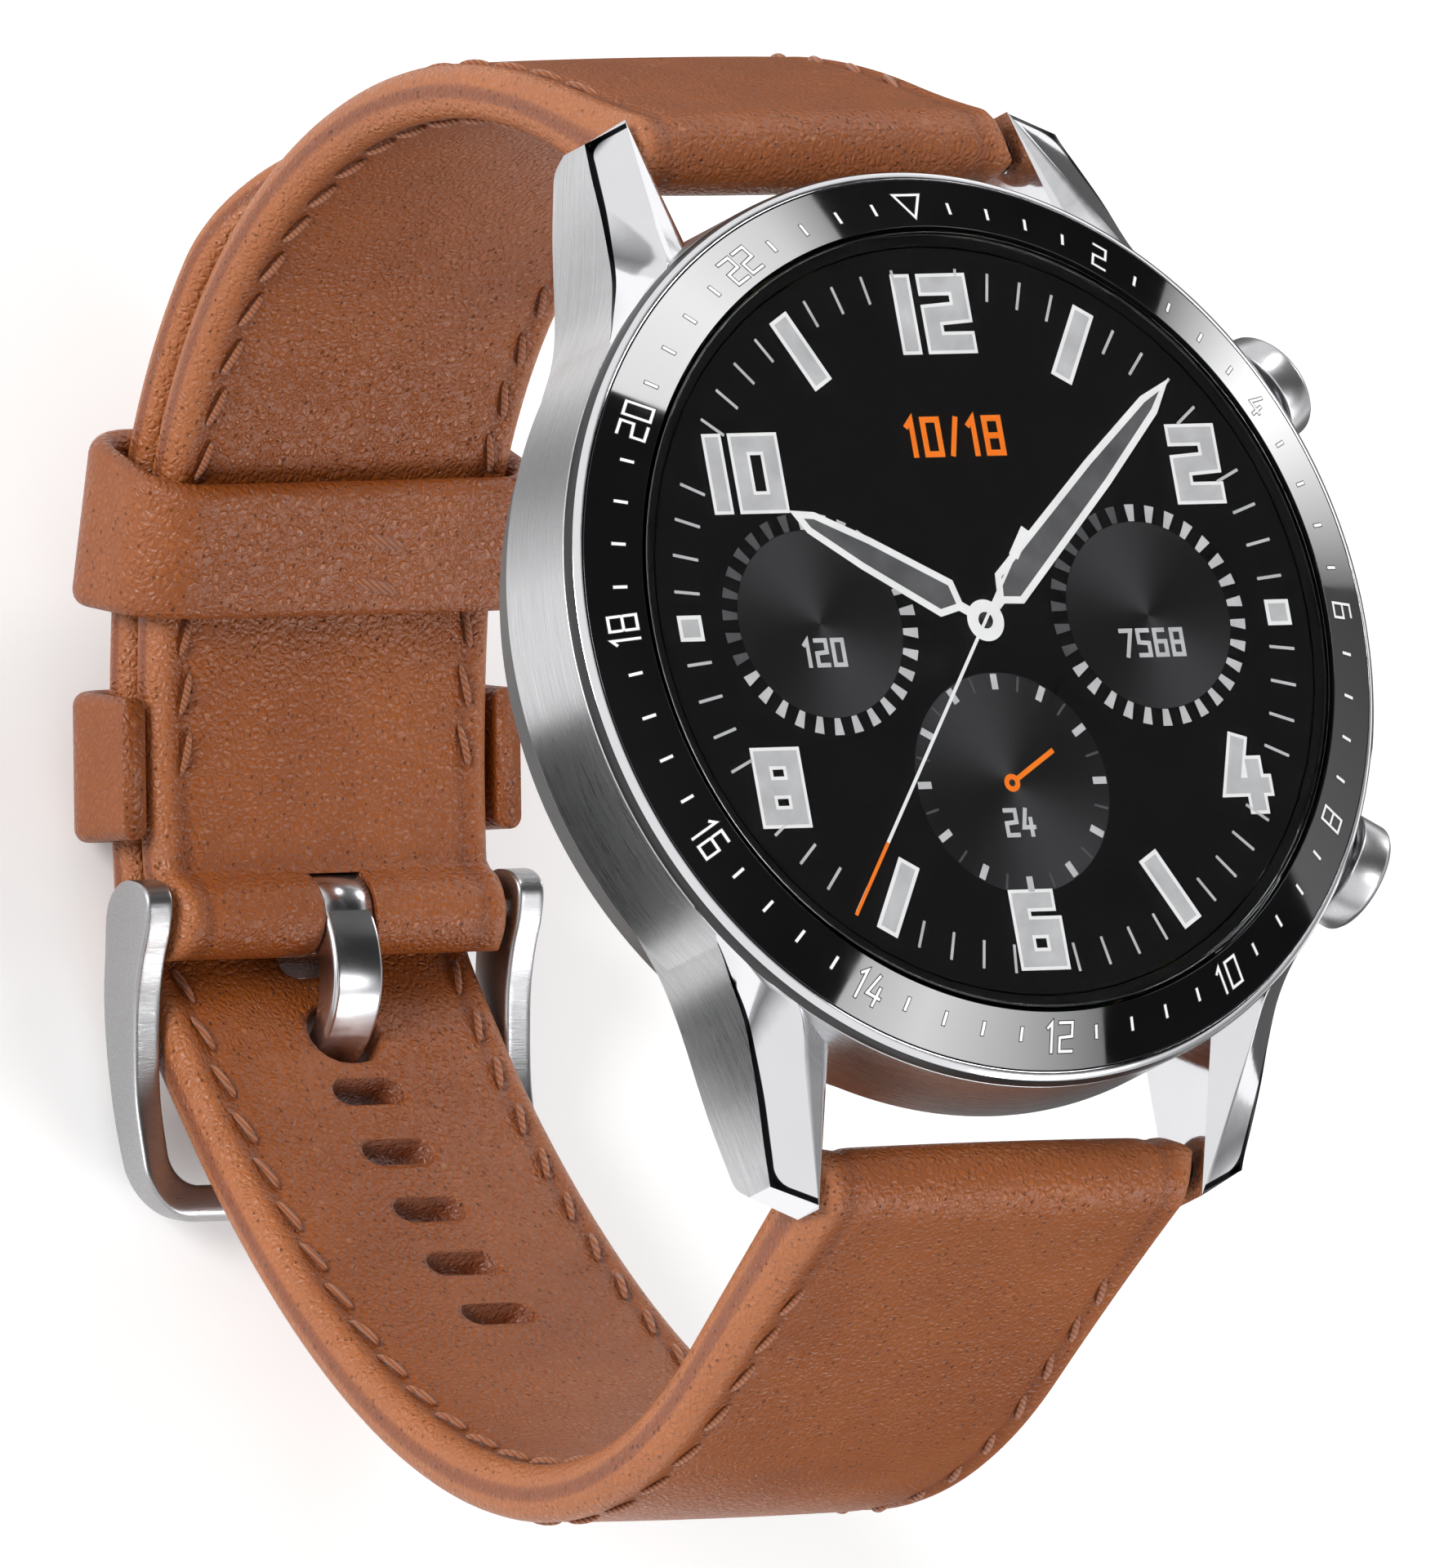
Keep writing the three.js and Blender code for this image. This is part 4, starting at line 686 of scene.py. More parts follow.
tongue = tube("buckle_tongue_metal", tongue_grid())
round_bar = unit(full_turn(64))
knuckle = tube("buckle_tongue_knuckle", np.array([
    np.column_stack([np.full(64, x), buckle_at(*(radius * round_bar).T)]) for x, radius in KNUCKLE_PROFILE]))
for piece in (tongue, knuckle):
    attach(piece, "tongue")
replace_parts(tongue, "buckle_tongue")
print("tongue:", len(tongue.data.polygons), "faces, knuckle:", len(knuckle.data.polygons), "faces")

# %% [markdown]
# ## The case
# The case is turned on a lathe and then milled: a ring whose brushed wall stands upright, a bright rim that is
# chamfered twice, and a black bezel that slopes up to the glass. Turned pieces are profiles of (r, z) sent round
# the Z axis, and a fine bevel with weighted normals gives their edges the glint of real machining.

# %% Case ring
CASE_RADIUS, CASE_INNER, CASE_TOP, WALL_FOOT = 23.1, 21.1, 8.7, 3.4
GUARD_HEIGHT, GUARD_REACH, GUARD_FADE = 0.3, 22.0, 6.0
GLASS_EDGE, BEZEL_EDGE, BEZEL_HIGH, BEZEL_LOW = 19.83, 22.5, 10.7, 9.6


def guard(angle, z):
    """The low swelling between the buttons: highest at the top of the wall, easing to nothing at its foot and at
    its ends as 3 s^2 - 2 s^3 does."""
    share = np.clip((GUARD_REACH - np.abs(np.degrees(angle))) / GUARD_FADE, 0, 1)
    return GUARD_HEIGHT * share * share * (3 - 2 * share) * np.clip((z - WALL_FOOT) / (CASE_TOP - WALL_FOOT), 0, 1)


def case_ring_grid(sides=288):
    """The wall: four corners of (r, z) for every angle, with the guard added to the outer ones."""
    angle = np.linspace(-np.pi, np.pi, sides, endpoint=False)[:, None]
    heights = np.array([CASE_TOP, CASE_TOP - 1.8, WALL_FOOT + 1.8, WALL_FOOT])
    outer = CASE_RADIUS + guard(angle, heights[None, :])
    inner = np.full((sides, 2), CASE_INNER)
    r = np.concatenate([outer, inner], axis=1)
    z = np.broadcast_to(np.concatenate([heights, [WALL_FOOT, CASE_TOP]]), r.shape)
    return np.stack([r * np.cos(angle), r * np.sin(angle), z], axis=-1)


case_ring = tube("case_ring_steel", case_ring_grid(), wrap_rows=True, caps=False)
crisp(case_ring, 0.07)
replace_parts(case_ring, "case_body")
case_back = crisp(turned("case_back_black", [
    (9.25, 0.5), (21.7, 0.5), (22.5, 3.35), (20.35, 3.35), (20.35, 3.9), (19.6, 3.9), (19.6, 1.6), (9.25, 1.6)],
    256), 0.12)
bezel = crisp(turned("bezel_black", [
    (GLASS_EDGE, BEZEL_HIGH), (GLASS_EDGE, 9.8), (20.2, 9.8), (20.2, 9.15), (BEZEL_EDGE, 9.15),
    (BEZEL_EDGE, BEZEL_LOW)], 288), 0.03)
# The steel rim's steep outer chamfer takes the black satin finish: a painted dark reflection on the steel.
rim = crisp(turned("bezel_rim_steel", [
    (20.2, 8.75), (CASE_RADIUS, 8.75), (22.95, 9.31), (22.55, 9.6), (22.55, 9.1), (20.2, 9.1)],
    288, [0, 1, 0, 0, 0, 0]), 0.03, 2, 15)
glass = crisp(turned("front_glass_disc", [(0, 10.1), (19.6, 10.1), (19.6, 10.7), (0, 10.7)], 288), 0.15, 3)
for piece, name in ((case_back, "case_back"), (bezel, "bezel_ring"), (rim, "bezel_rim"), (glass, "front_glass")):
    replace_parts(piece, name)
print("case wall", WALL_FOOT, "to", CASE_TOP, "mm, guard", GUARD_HEIGHT, "mm")

# %% Screw holes in the back
SCREW_RADIUS, SCREW_PLACE, SCREW_DEPTH = 1.15, 18.6, 0.8
circle = SCREW_RADIUS * unit(full_turn(40))
drills = []
for quarter in range(4):
    ring = circle + SCREW_PLACE * unit(math.radians(45 + 90 * quarter))
    rings = [np.column_stack([ring, np.full(40, z)]) for z in (-1, 0.5 + SCREW_DEPTH)]
    drills.append(tube("drill", np.stack(rings)))
apply_cut(case_back, drills)
case_back.data.polygons.foreach_set("use_smooth", np.ones(len(case_back.data.polygons), bool))
case_back.modifiers.new("even shading", "WEIGHTED_NORMAL")
print("case back with", len(drills), "screw seats:", len(case_back.data.polygons), "faces")

# %% [markdown]
# ## Lugs
# Each lug grows out of the wall and points down at its tip. Its section has five corners: inner foot, side foot,
# side edge, crest and inner edge. A table gives how far each corner has gone from root to tip, and smooth curves
# run through the table, so the facets stay sharp across the lug and flow along it.

# %% Lug sections
ROOT_ANGLE, APEX_ANGLE = math.radians(35.8), math.radians(53.6)
LUG_INNER_X, LUG_TIP_X, LUG_SIDE_Y, LUG_TIP_Y, LUG_TIP_TOP = 11.2, 13.8, 26.3, 27.5, 3.7
LUG_CORNER_Y = math.sqrt(CASE_RADIUS**2 - LUG_INNER_X**2)
FACET_SLOPE = 3.2 / (LUG_TIP_Y - LUG_CORNER_Y)
LUG_DROP, FOOT_DROP, ROOT_SINK = 5, 2.5, 0.93
LUG_SHARES = np.array([
    (0, 0, 0, 0.005, 0, 0), (0.133, 0.276, 0.12, 0.19, 0, 0.32), (0.258, 0.49, 0.32, 0.43, 0, 0.64),
    (0.398, 0.633, 0.42, 0.71, 0, 0.84), (0.547, 0.735, 0.55, 1, 0, 0.96), (0.695, 0.816, 0.68, 1, 0.33, 1),
    (0.852, 0.908, 0.85, 1, 0.63, 1), (0.945, 0.97, 0.95, 1, 0.88, 0.98), (1, 1, 1, 1, 0.98, 0.66),
])


def lug_corners():
    """The five corners of each of the table's sections, for the lug with positive X and Y."""
    y, x, drop, rim_share, ridge, foot = LUG_SHARES.T
    angle = ROOT_ANGLE + (APEX_ANGLE - ROOT_ANGLE) * rim_share
    apex = CASE_RADIUS * unit(APEX_ANGLE)
    crest_x = CASE_RADIUS * np.cos(angle) + (LUG_INNER_X - apex[0]) * ridge
    crest_y = CASE_RADIUS * np.sin(angle) + (LUG_TIP_Y - apex[1]) * ridge
    inner_y = crest_y.copy()
    inner_y[-1] = LUG_TIP_Y
    root = CASE_RADIUS * unit(ROOT_ANGLE)
    side_x, side_y = root[0] + (LUG_TIP_X - root[0]) * x, root[1] + (LUG_SIDE_Y - root[1]) * y
    foot_z = WALL_FOOT - FOOT_DROP * foot
    inner_top = np.minimum(CASE_TOP, LUG_TIP_TOP + FACET_SLOPE * (LUG_TIP_Y - inner_y))
    inner_x = np.full_like(y, LUG_INNER_X)
    corners = [(inner_x, inner_y, foot_z), (side_x, side_y, foot_z), (side_x, side_y, CASE_TOP - LUG_DROP * drop),
               (crest_x, crest_y, CASE_TOP - LUG_DROP * ridge), (inner_x, inner_y, inner_top)]
    return np.stack([np.stack(corner, axis=-1) for corner in corners], axis=1)


def flowing(corner, rows_between=7):
    """A corner's places along the lug: its own Catmull-Rom line, with even steps of t between the sections."""
    before = np.vstack([2 * corner[0] - corner[1], corner, 2 * corner[-1] - corner[-2]])
    out = []
    for k in range(1, len(corner)):
        t = np.linspace(0, 1, rows_between, endpoint=False)[:, None]
        p = before[k - 1:k + 3]
        out.append(0.5 * (2 * p[1] + (p[2] - p[0]) * t + (2 * p[0] - 5 * p[1] + 4 * p[2] - p[3]) * t**2
                          + (3 * p[1] - p[0] - 3 * p[2] + p[3]) * t**3))
    return np.vstack(out + [corner[-1:]])


# %% Lug meshes
FACET_COLUMNS, LINE_WIDTH, OUTLINE_CORNER = 10, 0.32, 1.1


def lug_grid():
    """Rows of a lug: foot, brushed side, the facet's columns from the side edge to the crest, and inner edge."""
    corners = lug_corners()
    lines = [flowing(corners[:, k])[:, None] for k in range(5)]
    share = np.linspace(0, 1, FACET_COLUMNS + 1)[None, :, None]
    inner_share = np.linspace(0, 1, 5)[None, 1:, None]
    facet = lines[2] * (1 - share) + lines[3] * share
    inner = lines[3] * (1 - inner_share) + lines[4] * inner_share
    return np.concatenate([lines[0], lines[1], facet, inner], axis=1)


def outline_distance(grid):
    """How far each facet point is from the facet's dark outline, a painted dark reflection along its edges: the
    lesser of the way to the side edge and to the tip, rounded where the two meet as 1 - sqrt((1 - a)^2 + (1 - b)^2)
    does. Points off the facet are far away."""
    far = np.full(grid.shape[:2], 9.0)
    facet = grid[:, 2:3 + FACET_COLUMNS]
    a, b = (np.clip(np.linalg.norm(facet - from_here, axis=-1) / OUTLINE_CORNER, 0, 1)
            for from_here in (facet[:, :1], facet[-1:]))
    far[:, 2:3 + FACET_COLUMNS] = OUTLINE_CORNER * (1 - np.sqrt((1 - a) ** 2 + (1 - b) ** 2))
    return far


# The first row moves inwards, so that the roots are sunk into the wall.
lug_rows = lug_grid()
away = outline_distance(lug_rows)
sunk = lug_rows[:1] * [ROOT_SINK, ROOT_SINK, 1]
lug_rows, away = np.concatenate([sunk, lug_rows]), np.concatenate([away[:1], away])
by_column = [1, 1] + [2] * FACET_COLUMNS + [0] * 5
lugs = []
for sy, above in ((1, "upper"), (-1, "lower")):
    for sx, beside in ((1, "right"), (-1, "left")):
        lug = tube(f"{above}_{beside}_lug_steel", lug_rows * [sx, sy, 1], values={"outline_distance": away},
                   column_finish=by_column)
        crisp(lug, 0.08, 2, 24)
        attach(lug, "watch")
        lugs.append(lug)
print(len(lugs), "lugs,", len(lugs[0].data.polygons), "faces each")

# %% [markdown]
# ## Buttons and sensor window
# Each button is a turned cap on a neck. The cap's underside is hollow, and the case has a low seat ring round the
# neck. Both are turned about their own axis, which lies level at 30 degrees to either side of 3 o'clock.

# %% Buttons
BUTTON_ANGLE, BUTTON_Z = math.radians(30), 6.4
CAP_RADIUS, CAP_START, CAP_END, NECK_RADIUS = 2.8, 23.5, 25.3, 1.5
buttons, seats = [], []
for side, above in ((1, "upper"), (-1, "lower")):
    axis = np.array([math.cos(BUTTON_ANGLE), side * math.sin(BUTTON_ANGLE), 0])
    level = {"origin": (0, 0, BUTTON_Z), "axes": np.array([(-axis[1], axis[0], 0), (0, 0, 1), axis])}
    cap = turned(f"{above}_button_cap", [
        (0, 22.95), (NECK_RADIUS, 22.95), (NECK_RADIUS, 24.1), (2.1, 24.1), (2.1, CAP_START),
        (CAP_RADIUS, CAP_START), (CAP_RADIUS, CAP_END - 0.3), (CAP_RADIUS - 0.3, CAP_END), (0.0, CAP_END)],
        96, **level)
    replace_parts(crisp(cap, 0.1, 2, 20), f"{above}_button")
    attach(cap, f"{above}_button")
    seat = turned(f"{above}_button_seat", [
        (1.62, 22.5), (2.55, 22.5), (2.55, 23.05), (2.45, 23.12), (1.72, 23.12), (1.62, 23.05)], 96, **level)
    buttons.append(cap), seats.append(crisp(seat, 0.03))
window = crisp(turned("sensor_window_disc", [
    (0, 0), (8.5, 0), (9.1, 0.5), (9.1, 1.65), (10.1, 1.65), (10.1, 2.1), (0, 2.1)], 160), 0.15, 3)
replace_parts(window, "sensor_window")
for piece in (case_ring, case_back, bezel, rim, glass, window, *seats):
    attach(piece, "watch")
print("buttons", [piece.name for piece in buttons])

# %% [markdown]
# ## Marks
# The bezel's marks and the dial's are thin raised prints. A stroke is a ribbon: a line of points with the same
# width all along, mitred where it turns. Numerals are drawn from such strokes on a squared grid, so nothing here
# depends on a font.

# %% Strokes and plates
FOOT_DEPTH = 0.02


def ribbon(line, width, closed=False):
    """The two sides of a stroke. At each point the offset is along the mitre, width / 2 over the cosine of half
    the turn, so the ribbon keeps its width round corners."""
    line = np.asarray(line, float)
    ahead, behind = np.roll(line, -1, axis=0) - line, line - np.roll(line, 1, axis=0)
    if not closed:
        ahead[-1], behind[0] = behind[-1], ahead[0]
    square = lambda way: directions(way) @ [[0, 1], [-1, 0]]
    mitre = directions(square(ahead) + square(behind))
    offset = mitre * (width / 2 / np.clip((mitre * square(ahead)).sum(1), 0.4, 1))[:, None]
    return line + offset, line - offset


class Plates:
    """Gathers flat ribbons and outlines, each as a closed plate of its own thickness, into one mesh."""

    def __init__(self, surface):
        self.surface, self.points, self.faces, self.sheens, self.count = surface, [], [], [], 0

    def add(self, grid, thickness, wrap=False, sheen=0.0):
        """A plate from rows of flat points (x, y). Its top lies a thickness over the surface, its foot just under."""
        grid = np.asarray(grid, float)
        rows, columns = grid.shape[:2]
        base = self.surface(grid[..., 0], grid[..., 1])
        top, foot = (np.dstack([grid, base + high]) for high in (thickness, -FOOT_DEPTH))
        loop = np.concatenate([top, foot[:, ::-1]], axis=1)
        faces = [grid_faces(rows, 2 * columns, wrap, True)]
        if not wrap:
            end = np.arange(columns - 1)
            for row, flip in ((0, 1), (rows - 1, -1)):
                cap = np.column_stack([end, end + 1, 2 * columns - 2 - end, 2 * columns - 1 - end])
                faces.append((cap + row * 2 * columns)[:, ::flip])
        points = loop.reshape(-1, 3)
        if volume_of(points, faces) < 0:
            faces = [face[:, ::-1] for face in faces]
        self.points.append(points)
        self.sheens.append(np.broadcast_to(sheen, loop.shape[:2]).ravel())
        self.faces += [face + self.count for face in faces]
        self.count += len(points)

    def stroke(self, line, width, thickness, place=lambda p: p, closed=False):
        """A ribbon along a line, moved to its place on the watch."""
        left, right = ribbon(line, width, closed)
        self.add(place(np.stack([left, right], axis=1)), thickness, closed)

    def piece(self, name):
        """The mesh object of all plates. They are thin, so their shading is flat."""
        rows = [row for face in self.faces for row in face.tolist()]
        made = carry(new_object(name, np.concatenate(self.points), rows), "sheen", np.concatenate(self.sheens))
        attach(made, "watch")
        print(name, len(rows), "faces")
        return made


def turn_to(angle, radius, tilt=None, centre=(0, 0)):
    """A map from a mark's own axes (x right, y outwards) to the watch: turned by the clock angle, and set at a
    radius from a centre. A numeral that stands upright has a tilt of its own."""
    around, turn = math.radians(angle), math.radians(angle if tilt is None else tilt)
    middle = centre + radius * np.array([math.sin(around), math.cos(around)])
    spin = np.array([[math.cos(turn), -math.sin(turn)], [math.sin(turn), math.cos(turn)]])
    return lambda p: p @ spin + middle


def shift_to(x, y):
    """A map that only moves a mark."""
    return lambda p: p + [x, y]


# %% Numerals
NUMERALS = {
    "0": [([(0, 0), (1, 0), (1, 1), (0, 1)], True)],
    "1": [([(0.2, 0.84), (0.5, 1), (0.5, 0)], False)],
    "|": [([(0.5, 1), (0.5, 0)], False)],
    "2": [([(0, 1), (1, 1), (1, 0.52), (0, 0.48), (0, 0), (1, 0)], False)],
    "3": [([(0, 1), (1, 1), (1, 0), (0, 0)], False), ([(0.3, 0.5), (1, 0.5)], False)],
    "4": [([(0.35, 1), (0, 0.3), (1, 0.3)], False), ([(0.75, 0.62), (0.75, 0)], False)],
    "5": [([(1, 1), (0, 1), (0, 0.52), (1, 0.48), (1, 0), (0, 0)], False)],
    "6": [([(0.85, 1), (0, 1), (0, 0), (1, 0), (1, 0.54), (0, 0.54)], False)],
    "7": [([(0, 1), (1, 1), (0.4, 0)], False)],
    "8": [([(0, 0), (1, 0), (1, 1), (0, 1)], True), ([(0, 0.5), (1, 0.5)], False)],
}


def with_ends(line, reach):
    """An open stroke made longer at both ends."""
    return np.vstack([line[0] + reach * directions(line[0] - line[1]), line[1:-1],
                      line[-1] + reach * directions(line[-1] - line[-2])])


def write_number(plates, text, size, width, thickness, place, gap=0.35):
    """A row of numerals. The size is (width, height) of one numeral's middle line, and the row is centred."""
    advance = [size[0] * {"1": 0.55, "|": 0.2}.get(digit, 1) for digit in text]
    start = -(sum(advance) + gap * (len(text) - 1)) / 2
    for digit, room in zip(text, advance):
        shift = start - size[0] * {"1": 0.1, "|": 0.4}.get(digit, 0)
        for line, closed in NUMERALS[digit]:
            line = np.array(line) * size + [shift, -size[1] / 2]
            plates.stroke(line if closed else with_ends(line, width / 2), width, thickness, place, closed)
        start += room + gap


# %% Bezel marks
CONE_SLOPE = (BEZEL_HIGH - BEZEL_LOW) / (BEZEL_EDGE - GLASS_EDGE)
MARK_RADIUS, NUMERAL_RADIUS = 20.91, 21.0


def cone(x, y):
    """The bezel's height: it falls evenly from the glass outwards."""
    return BEZEL_HIGH - (np.hypot(x, y) - GLASS_EDGE) * CONE_SLOPE


# Every mark is drawn twice: as a white inlay, and a little wider and lower as a dark outline round it, which is
# painted shade at the engraving's edge.
bezel_marks, bezel_shade_outlines = Plates(cone), Plates(cone)
triangle = np.array([(-0.75, 0.62), (0.75, 0.62), (0, -0.68)])
for plates, line_width, tick_width, tick, thickness in (
        (bezel_marks, 0.13, 0.15, 0.32, 0.015), (bezel_shade_outlines, 0.22, 0.23, 0.32 * 1.12, 0.007)):
    for step in range(60):
        if step % 5:
            plates.stroke([(0, -tick), (0, tick)], tick_width, thickness, turn_to(6 * step, MARK_RADIUS))
    for hour in range(1, 12):
        upright = 30 * hour + (180 if 4 <= hour <= 8 else 0)
        write_number(plates, str(2 * hour), (0.72, 1.3), line_width, thickness,
                     turn_to(30 * hour, NUMERAL_RADIUS, upright), 0.36)
    plates.stroke(triangle, line_width, thickness, turn_to(0, NUMERAL_RADIUS), True)
bezel_prints, shade_outline_prints = bezel_marks.piece("bezel_marks"), bezel_shade_outlines.piece("bezel_mark_shade_outlines")

# %% Dial marks
DIAL_TOP, PRINT, OVERPRINT, HAND_HIGH, SECOND_HIGH = 10.05, 0.008, 0.012, 0.02, 0.026
MINUTE_RADIUS, MINUTE_REACH = 17.12, 0.72
flat_dial = lambda x, y: DIAL_TOP + 0 * x
white_marks, grey_marks, dim_marks, orange_marks, disc_marks, hand_fill = (Plates(flat_dial) for _ in range(6))
for step in range(60):
    if step % 5:
        grey_marks.stroke([(0, -MINUTE_REACH), (0, MINUTE_REACH)], 0.15, PRINT, turn_to(6 * step, MINUTE_RADIUS))
# The hour blocks and numerals are white, with a narrower grey print over them.
for plates, spare, numeral_width, thickness in ((white_marks, 0, 1.12, PRINT), (grey_marks, 0.2, 0.78, OVERPRINT)):
    for hours, radius, reach, width in (((1, 5, 7, 11), 15.9, 2.0, 1.25), ((3, 9), 17.17, 0.7, 1.3)):
        for hour in hours:
            line = [(0, spare - reach), (0, reach - spare)]
            plates.stroke(line, width - 2 * spare, thickness, turn_to(30 * hour, radius))
    for text, x, y in (("|2", 0.1, 15.5), ("2", 13.9, 7.6), ("4", 13.6, -8.1), ("6", -0.1, -15.6),
                       ("8", -13.6, -8.1), ("|0", -12.5, 7.7)):
        write_number(plates, text, (1.75, 2.95), numeral_width, thickness, shift_to(x, y), 1.32)
for text, x, y in (("120", -9.7, -1.4), ("7568", 9.5, -1.35), ("24", -0.1, -10.2)):
    write_number(grey_marks, text, (0.58, 1.25), 0.22, OVERPRINT, shift_to(x, y), 0.4)
for text, x in (("10", -1.7), ("18", 1.9)):
    write_number(orange_marks, text, (0.85, 1.75), 0.3, OVERPRINT, shift_to(x, 9.3), 0.55)
orange_marks.stroke([(-0.25, -1.0), (0.25, 1.0)], 0.28, OVERPRINT, shift_to(0.1, 9.3))

# %% Sub-dials
SHEEN_TURN = math.radians(118)
LOW_DIAL, LOW_DIAL_RADIUS, SUB_DIAL_RADIUS = np.array([-0.14, -8.2]), 5.57, 4.72
PIN, DISC_PRINT = 0.01, 0.004


def ring_plate(plates, centre, low, high, thickness, sides=96):
    """A flat ring about a centre, from one radius to another. Its sheen is that of turned metal, |cos a|^3."""
    a = full_turn(sides)
    circle = unit(a)
    sheen = np.abs(np.cos(a - SHEEN_TURN))[:, None] ** 3
    plates.add(np.stack([centre + low * circle, centre + high * circle], axis=1), thickness, True, sheen)


wedge = np.array([[(-0.16, 4.75), (0.16, 4.75)], [(-0.27, 5.6), (0.27, 5.6)]])
for centre in ((-9.63, 0.05), (9.55, 0.04)):
    ring_plate(disc_marks, centre, PIN, SUB_DIAL_RADIUS, DISC_PRINT)
    for step in range(30):
        plates = dim_marks if step >= 21 else grey_marks
        plates.add(turn_to(12 * step, 0, centre=centre)(wedge), OVERPRINT)
ring_plate(disc_marks, LOW_DIAL, PIN, LOW_DIAL_RADIUS, DISC_PRINT)
for step in range(24):
    plates, width = (dim_marks, 0.12) if step % 2 else (grey_marks, 0.36)
    plates.stroke([(0, 4.72), (0, 5.5)], width, OVERPRINT, turn_to(15 * step, 0, centre=LOW_DIAL))

# %% Hands
HAND_HALF, HUB_BORE, HUB_RADIUS = 0.86, 0.42, 1.05
HOUR_TIP, HOUR_ANGLE, MINUTE_TIP, MINUTE_ANGLE = 11.6, 299.4, 17.6, 47.9
SECOND_ANGLE, SECOND_TAIL, SECOND_WEIGHT, SECOND_ORANGE, SECOND_TIP = 215.9, -5.3, (-5.6, -3.9), 13.6, 18.0


def leaf_hand(tip, angle):
    """A hand of the leaf kind: its half width (y, w) grows quickly from the hub and narrows to the tip. A white
    stroke runs round it, a grey plate fills it, and a stem joins it to the hub."""
    leaf = np.array([(2.4, HAND_HALF), (tip * 0.62, HAND_HALF * 0.82), (tip * 0.9, 0.42)])
    right, left = np.column_stack([leaf[:, 1], leaf[:, 0]]), np.column_stack([-leaf[:, 1], leaf[:, 0]])
    at = turn_to(angle, 0)
    white_marks.stroke(np.vstack([(0, 1.5), left, (0, tip - 0.25), right[::-1]]), 0.36, HAND_HIGH, at, True)
    y, w = np.vstack([(1.6, 0.05), leaf, (tip - 0.4, 0.05)]).T
    hand_fill.add(at(np.stack([np.column_stack([-w, y]), np.column_stack([w, y])], axis=1)), 0.016)
    white_marks.stroke([(0, 0), (0, 1.6)], 0.5, HAND_HIGH, at)


leaf_hand(HOUR_TIP, HOUR_ANGLE)
leaf_hand(MINUTE_TIP, MINUTE_ANGLE)
second = turn_to(SECOND_ANGLE, 0)
for plates, start, end, width in (
        (white_marks, SECOND_TAIL, SECOND_ORANGE, 0.17), (white_marks, *SECOND_WEIGHT, 0.55),
        (orange_marks, SECOND_ORANGE, SECOND_TIP, 0.18)):
    plates.stroke([(0, start), (0, end)], width, SECOND_HIGH, second)
ring_plate(white_marks, np.zeros(2), HUB_BORE, HUB_RADIUS, 0.03)
ring_plate(disc_marks, np.zeros(2), PIN, HUB_BORE, 0.024)
low_tip = np.array([2.57, -6.62])
orange_marks.stroke(np.array([LOW_DIAL + 0.35 * directions(low_tip - LOW_DIAL), low_tip]), 0.26, OVERPRINT)
ring_plate(orange_marks, LOW_DIAL, 0.18, 0.45, 0.016)
dial_prints = {name: plates.piece(f"dial_{name}") for name, plates in (
    ("white_marks", white_marks), ("grey_marks", grey_marks), ("dim_marks", dim_marks),
    ("orange_marks", orange_marks), ("discs", disc_marks), ("hand_fill", hand_fill))}

# %% [markdown]
# ## Stage, camera and light
# The camera looks down on the dial from the 8 o'clock side, from far away through a long lens, so that the
# picture has almost no perspective. The floor is plain and pale, and the light is even, with three soft lamps.

# %% Camera
FORWARD = np.array([0.55341, 0.21453, -0.80481])
UP = np.array([0.02491, 0.96157, 0.27344])
RIGHT = np.array([0.83253, -0.17138, 0.52680])
AIM = np.array([-11.042, -5.503, 1.64])
LENS, SENSOR, VIEW_HEIGHT = 1200.0, 36.0, 76.107
camera_data = bpy.data.cameras.new("camera")
camera = bpy.data.objects.new("camera", camera_data)
bpy.context.scene.collection.objects.link(camera)
camera_data.lens, camera_data.sensor_width = LENS, SENSOR
camera_data.clip_start, camera_data.clip_end = 0.1, 20.0
place = (AIM - FORWARD * VIEW_HEIGHT * LENS / SENSOR) * MILLIMETRE
axes = np.stack([RIGHT, UP, -FORWARD], axis=1)
q, _ = np.linalg.qr(axes)
q *= np.sign(np.diag(q.T @ axes))
camera.matrix_world = Matrix.Translation(Vector(place)) @ Matrix(q.tolist()).to_4x4()
bpy.context.scene.camera = camera
bpy.context.scene.view_settings.view_transform = "Standard"
print("camera looks along", FORWARD, "at", AIM, "mm")

# %% [markdown]
# The world is white where the camera, a mirror or a glass sees it, and a little dimmer where it lights the
# object, so that a colour comes out about as it is written. Light Path tells these rays apart.

# %% Nodes and materials
def node(tree, kind, inputs=None, **settings):
    """Adds a shader node, sets its options, and fills its inputs with values or with links from other nodes."""
    made = tree.nodes.new(kind)
    for key, value in settings.items():
        setattr(made, key, value)
    for key, value in (inputs or {}).items():
        if isinstance(value, bpy.types.NodeSocket):
            tree.links.new(value, made.inputs[key])
        else:
            made.inputs[key].default_value = value
    return made


def math_node(tree, operation, *values, clamp=False):
    """A Math node on values or sockets, and its output."""
    return node(tree, "ShaderNodeMath", dict(enumerate(values)), operation=operation, use_clamp=clamp).outputs[0]


def new_material(name, **values):
    """A material whose plain numbers stand on the shader's own sockets."""
    made = bpy.data.materials.new(name)
    made.use_nodes = True
    shader = made.node_tree.nodes["Principled BSDF"]
    for key, value in values.items():
        shader.inputs[key.replace("_", " ")].default_value = value
    return made, made.node_tree, shader


def feed(shader, **sockets):
    """Links sockets to a shader node's inputs by their names."""
    for key, socket in sockets.items():
        shader.id_data.links.new(socket, shader.inputs[key.replace("_", " ")])


# %% World, lamps and floor
EVEN_LIGHT, FLOOR_COLOUR, FLOOR_LIFT, FLOOR_Z, FLOOR_REACH, LAMP_WIDTH = 0.6, 0.9, 0.19, -55.9, 1500, 26
WHITE, BLACK = (1, 1, 1, 1), (0, 0, 0, 1)


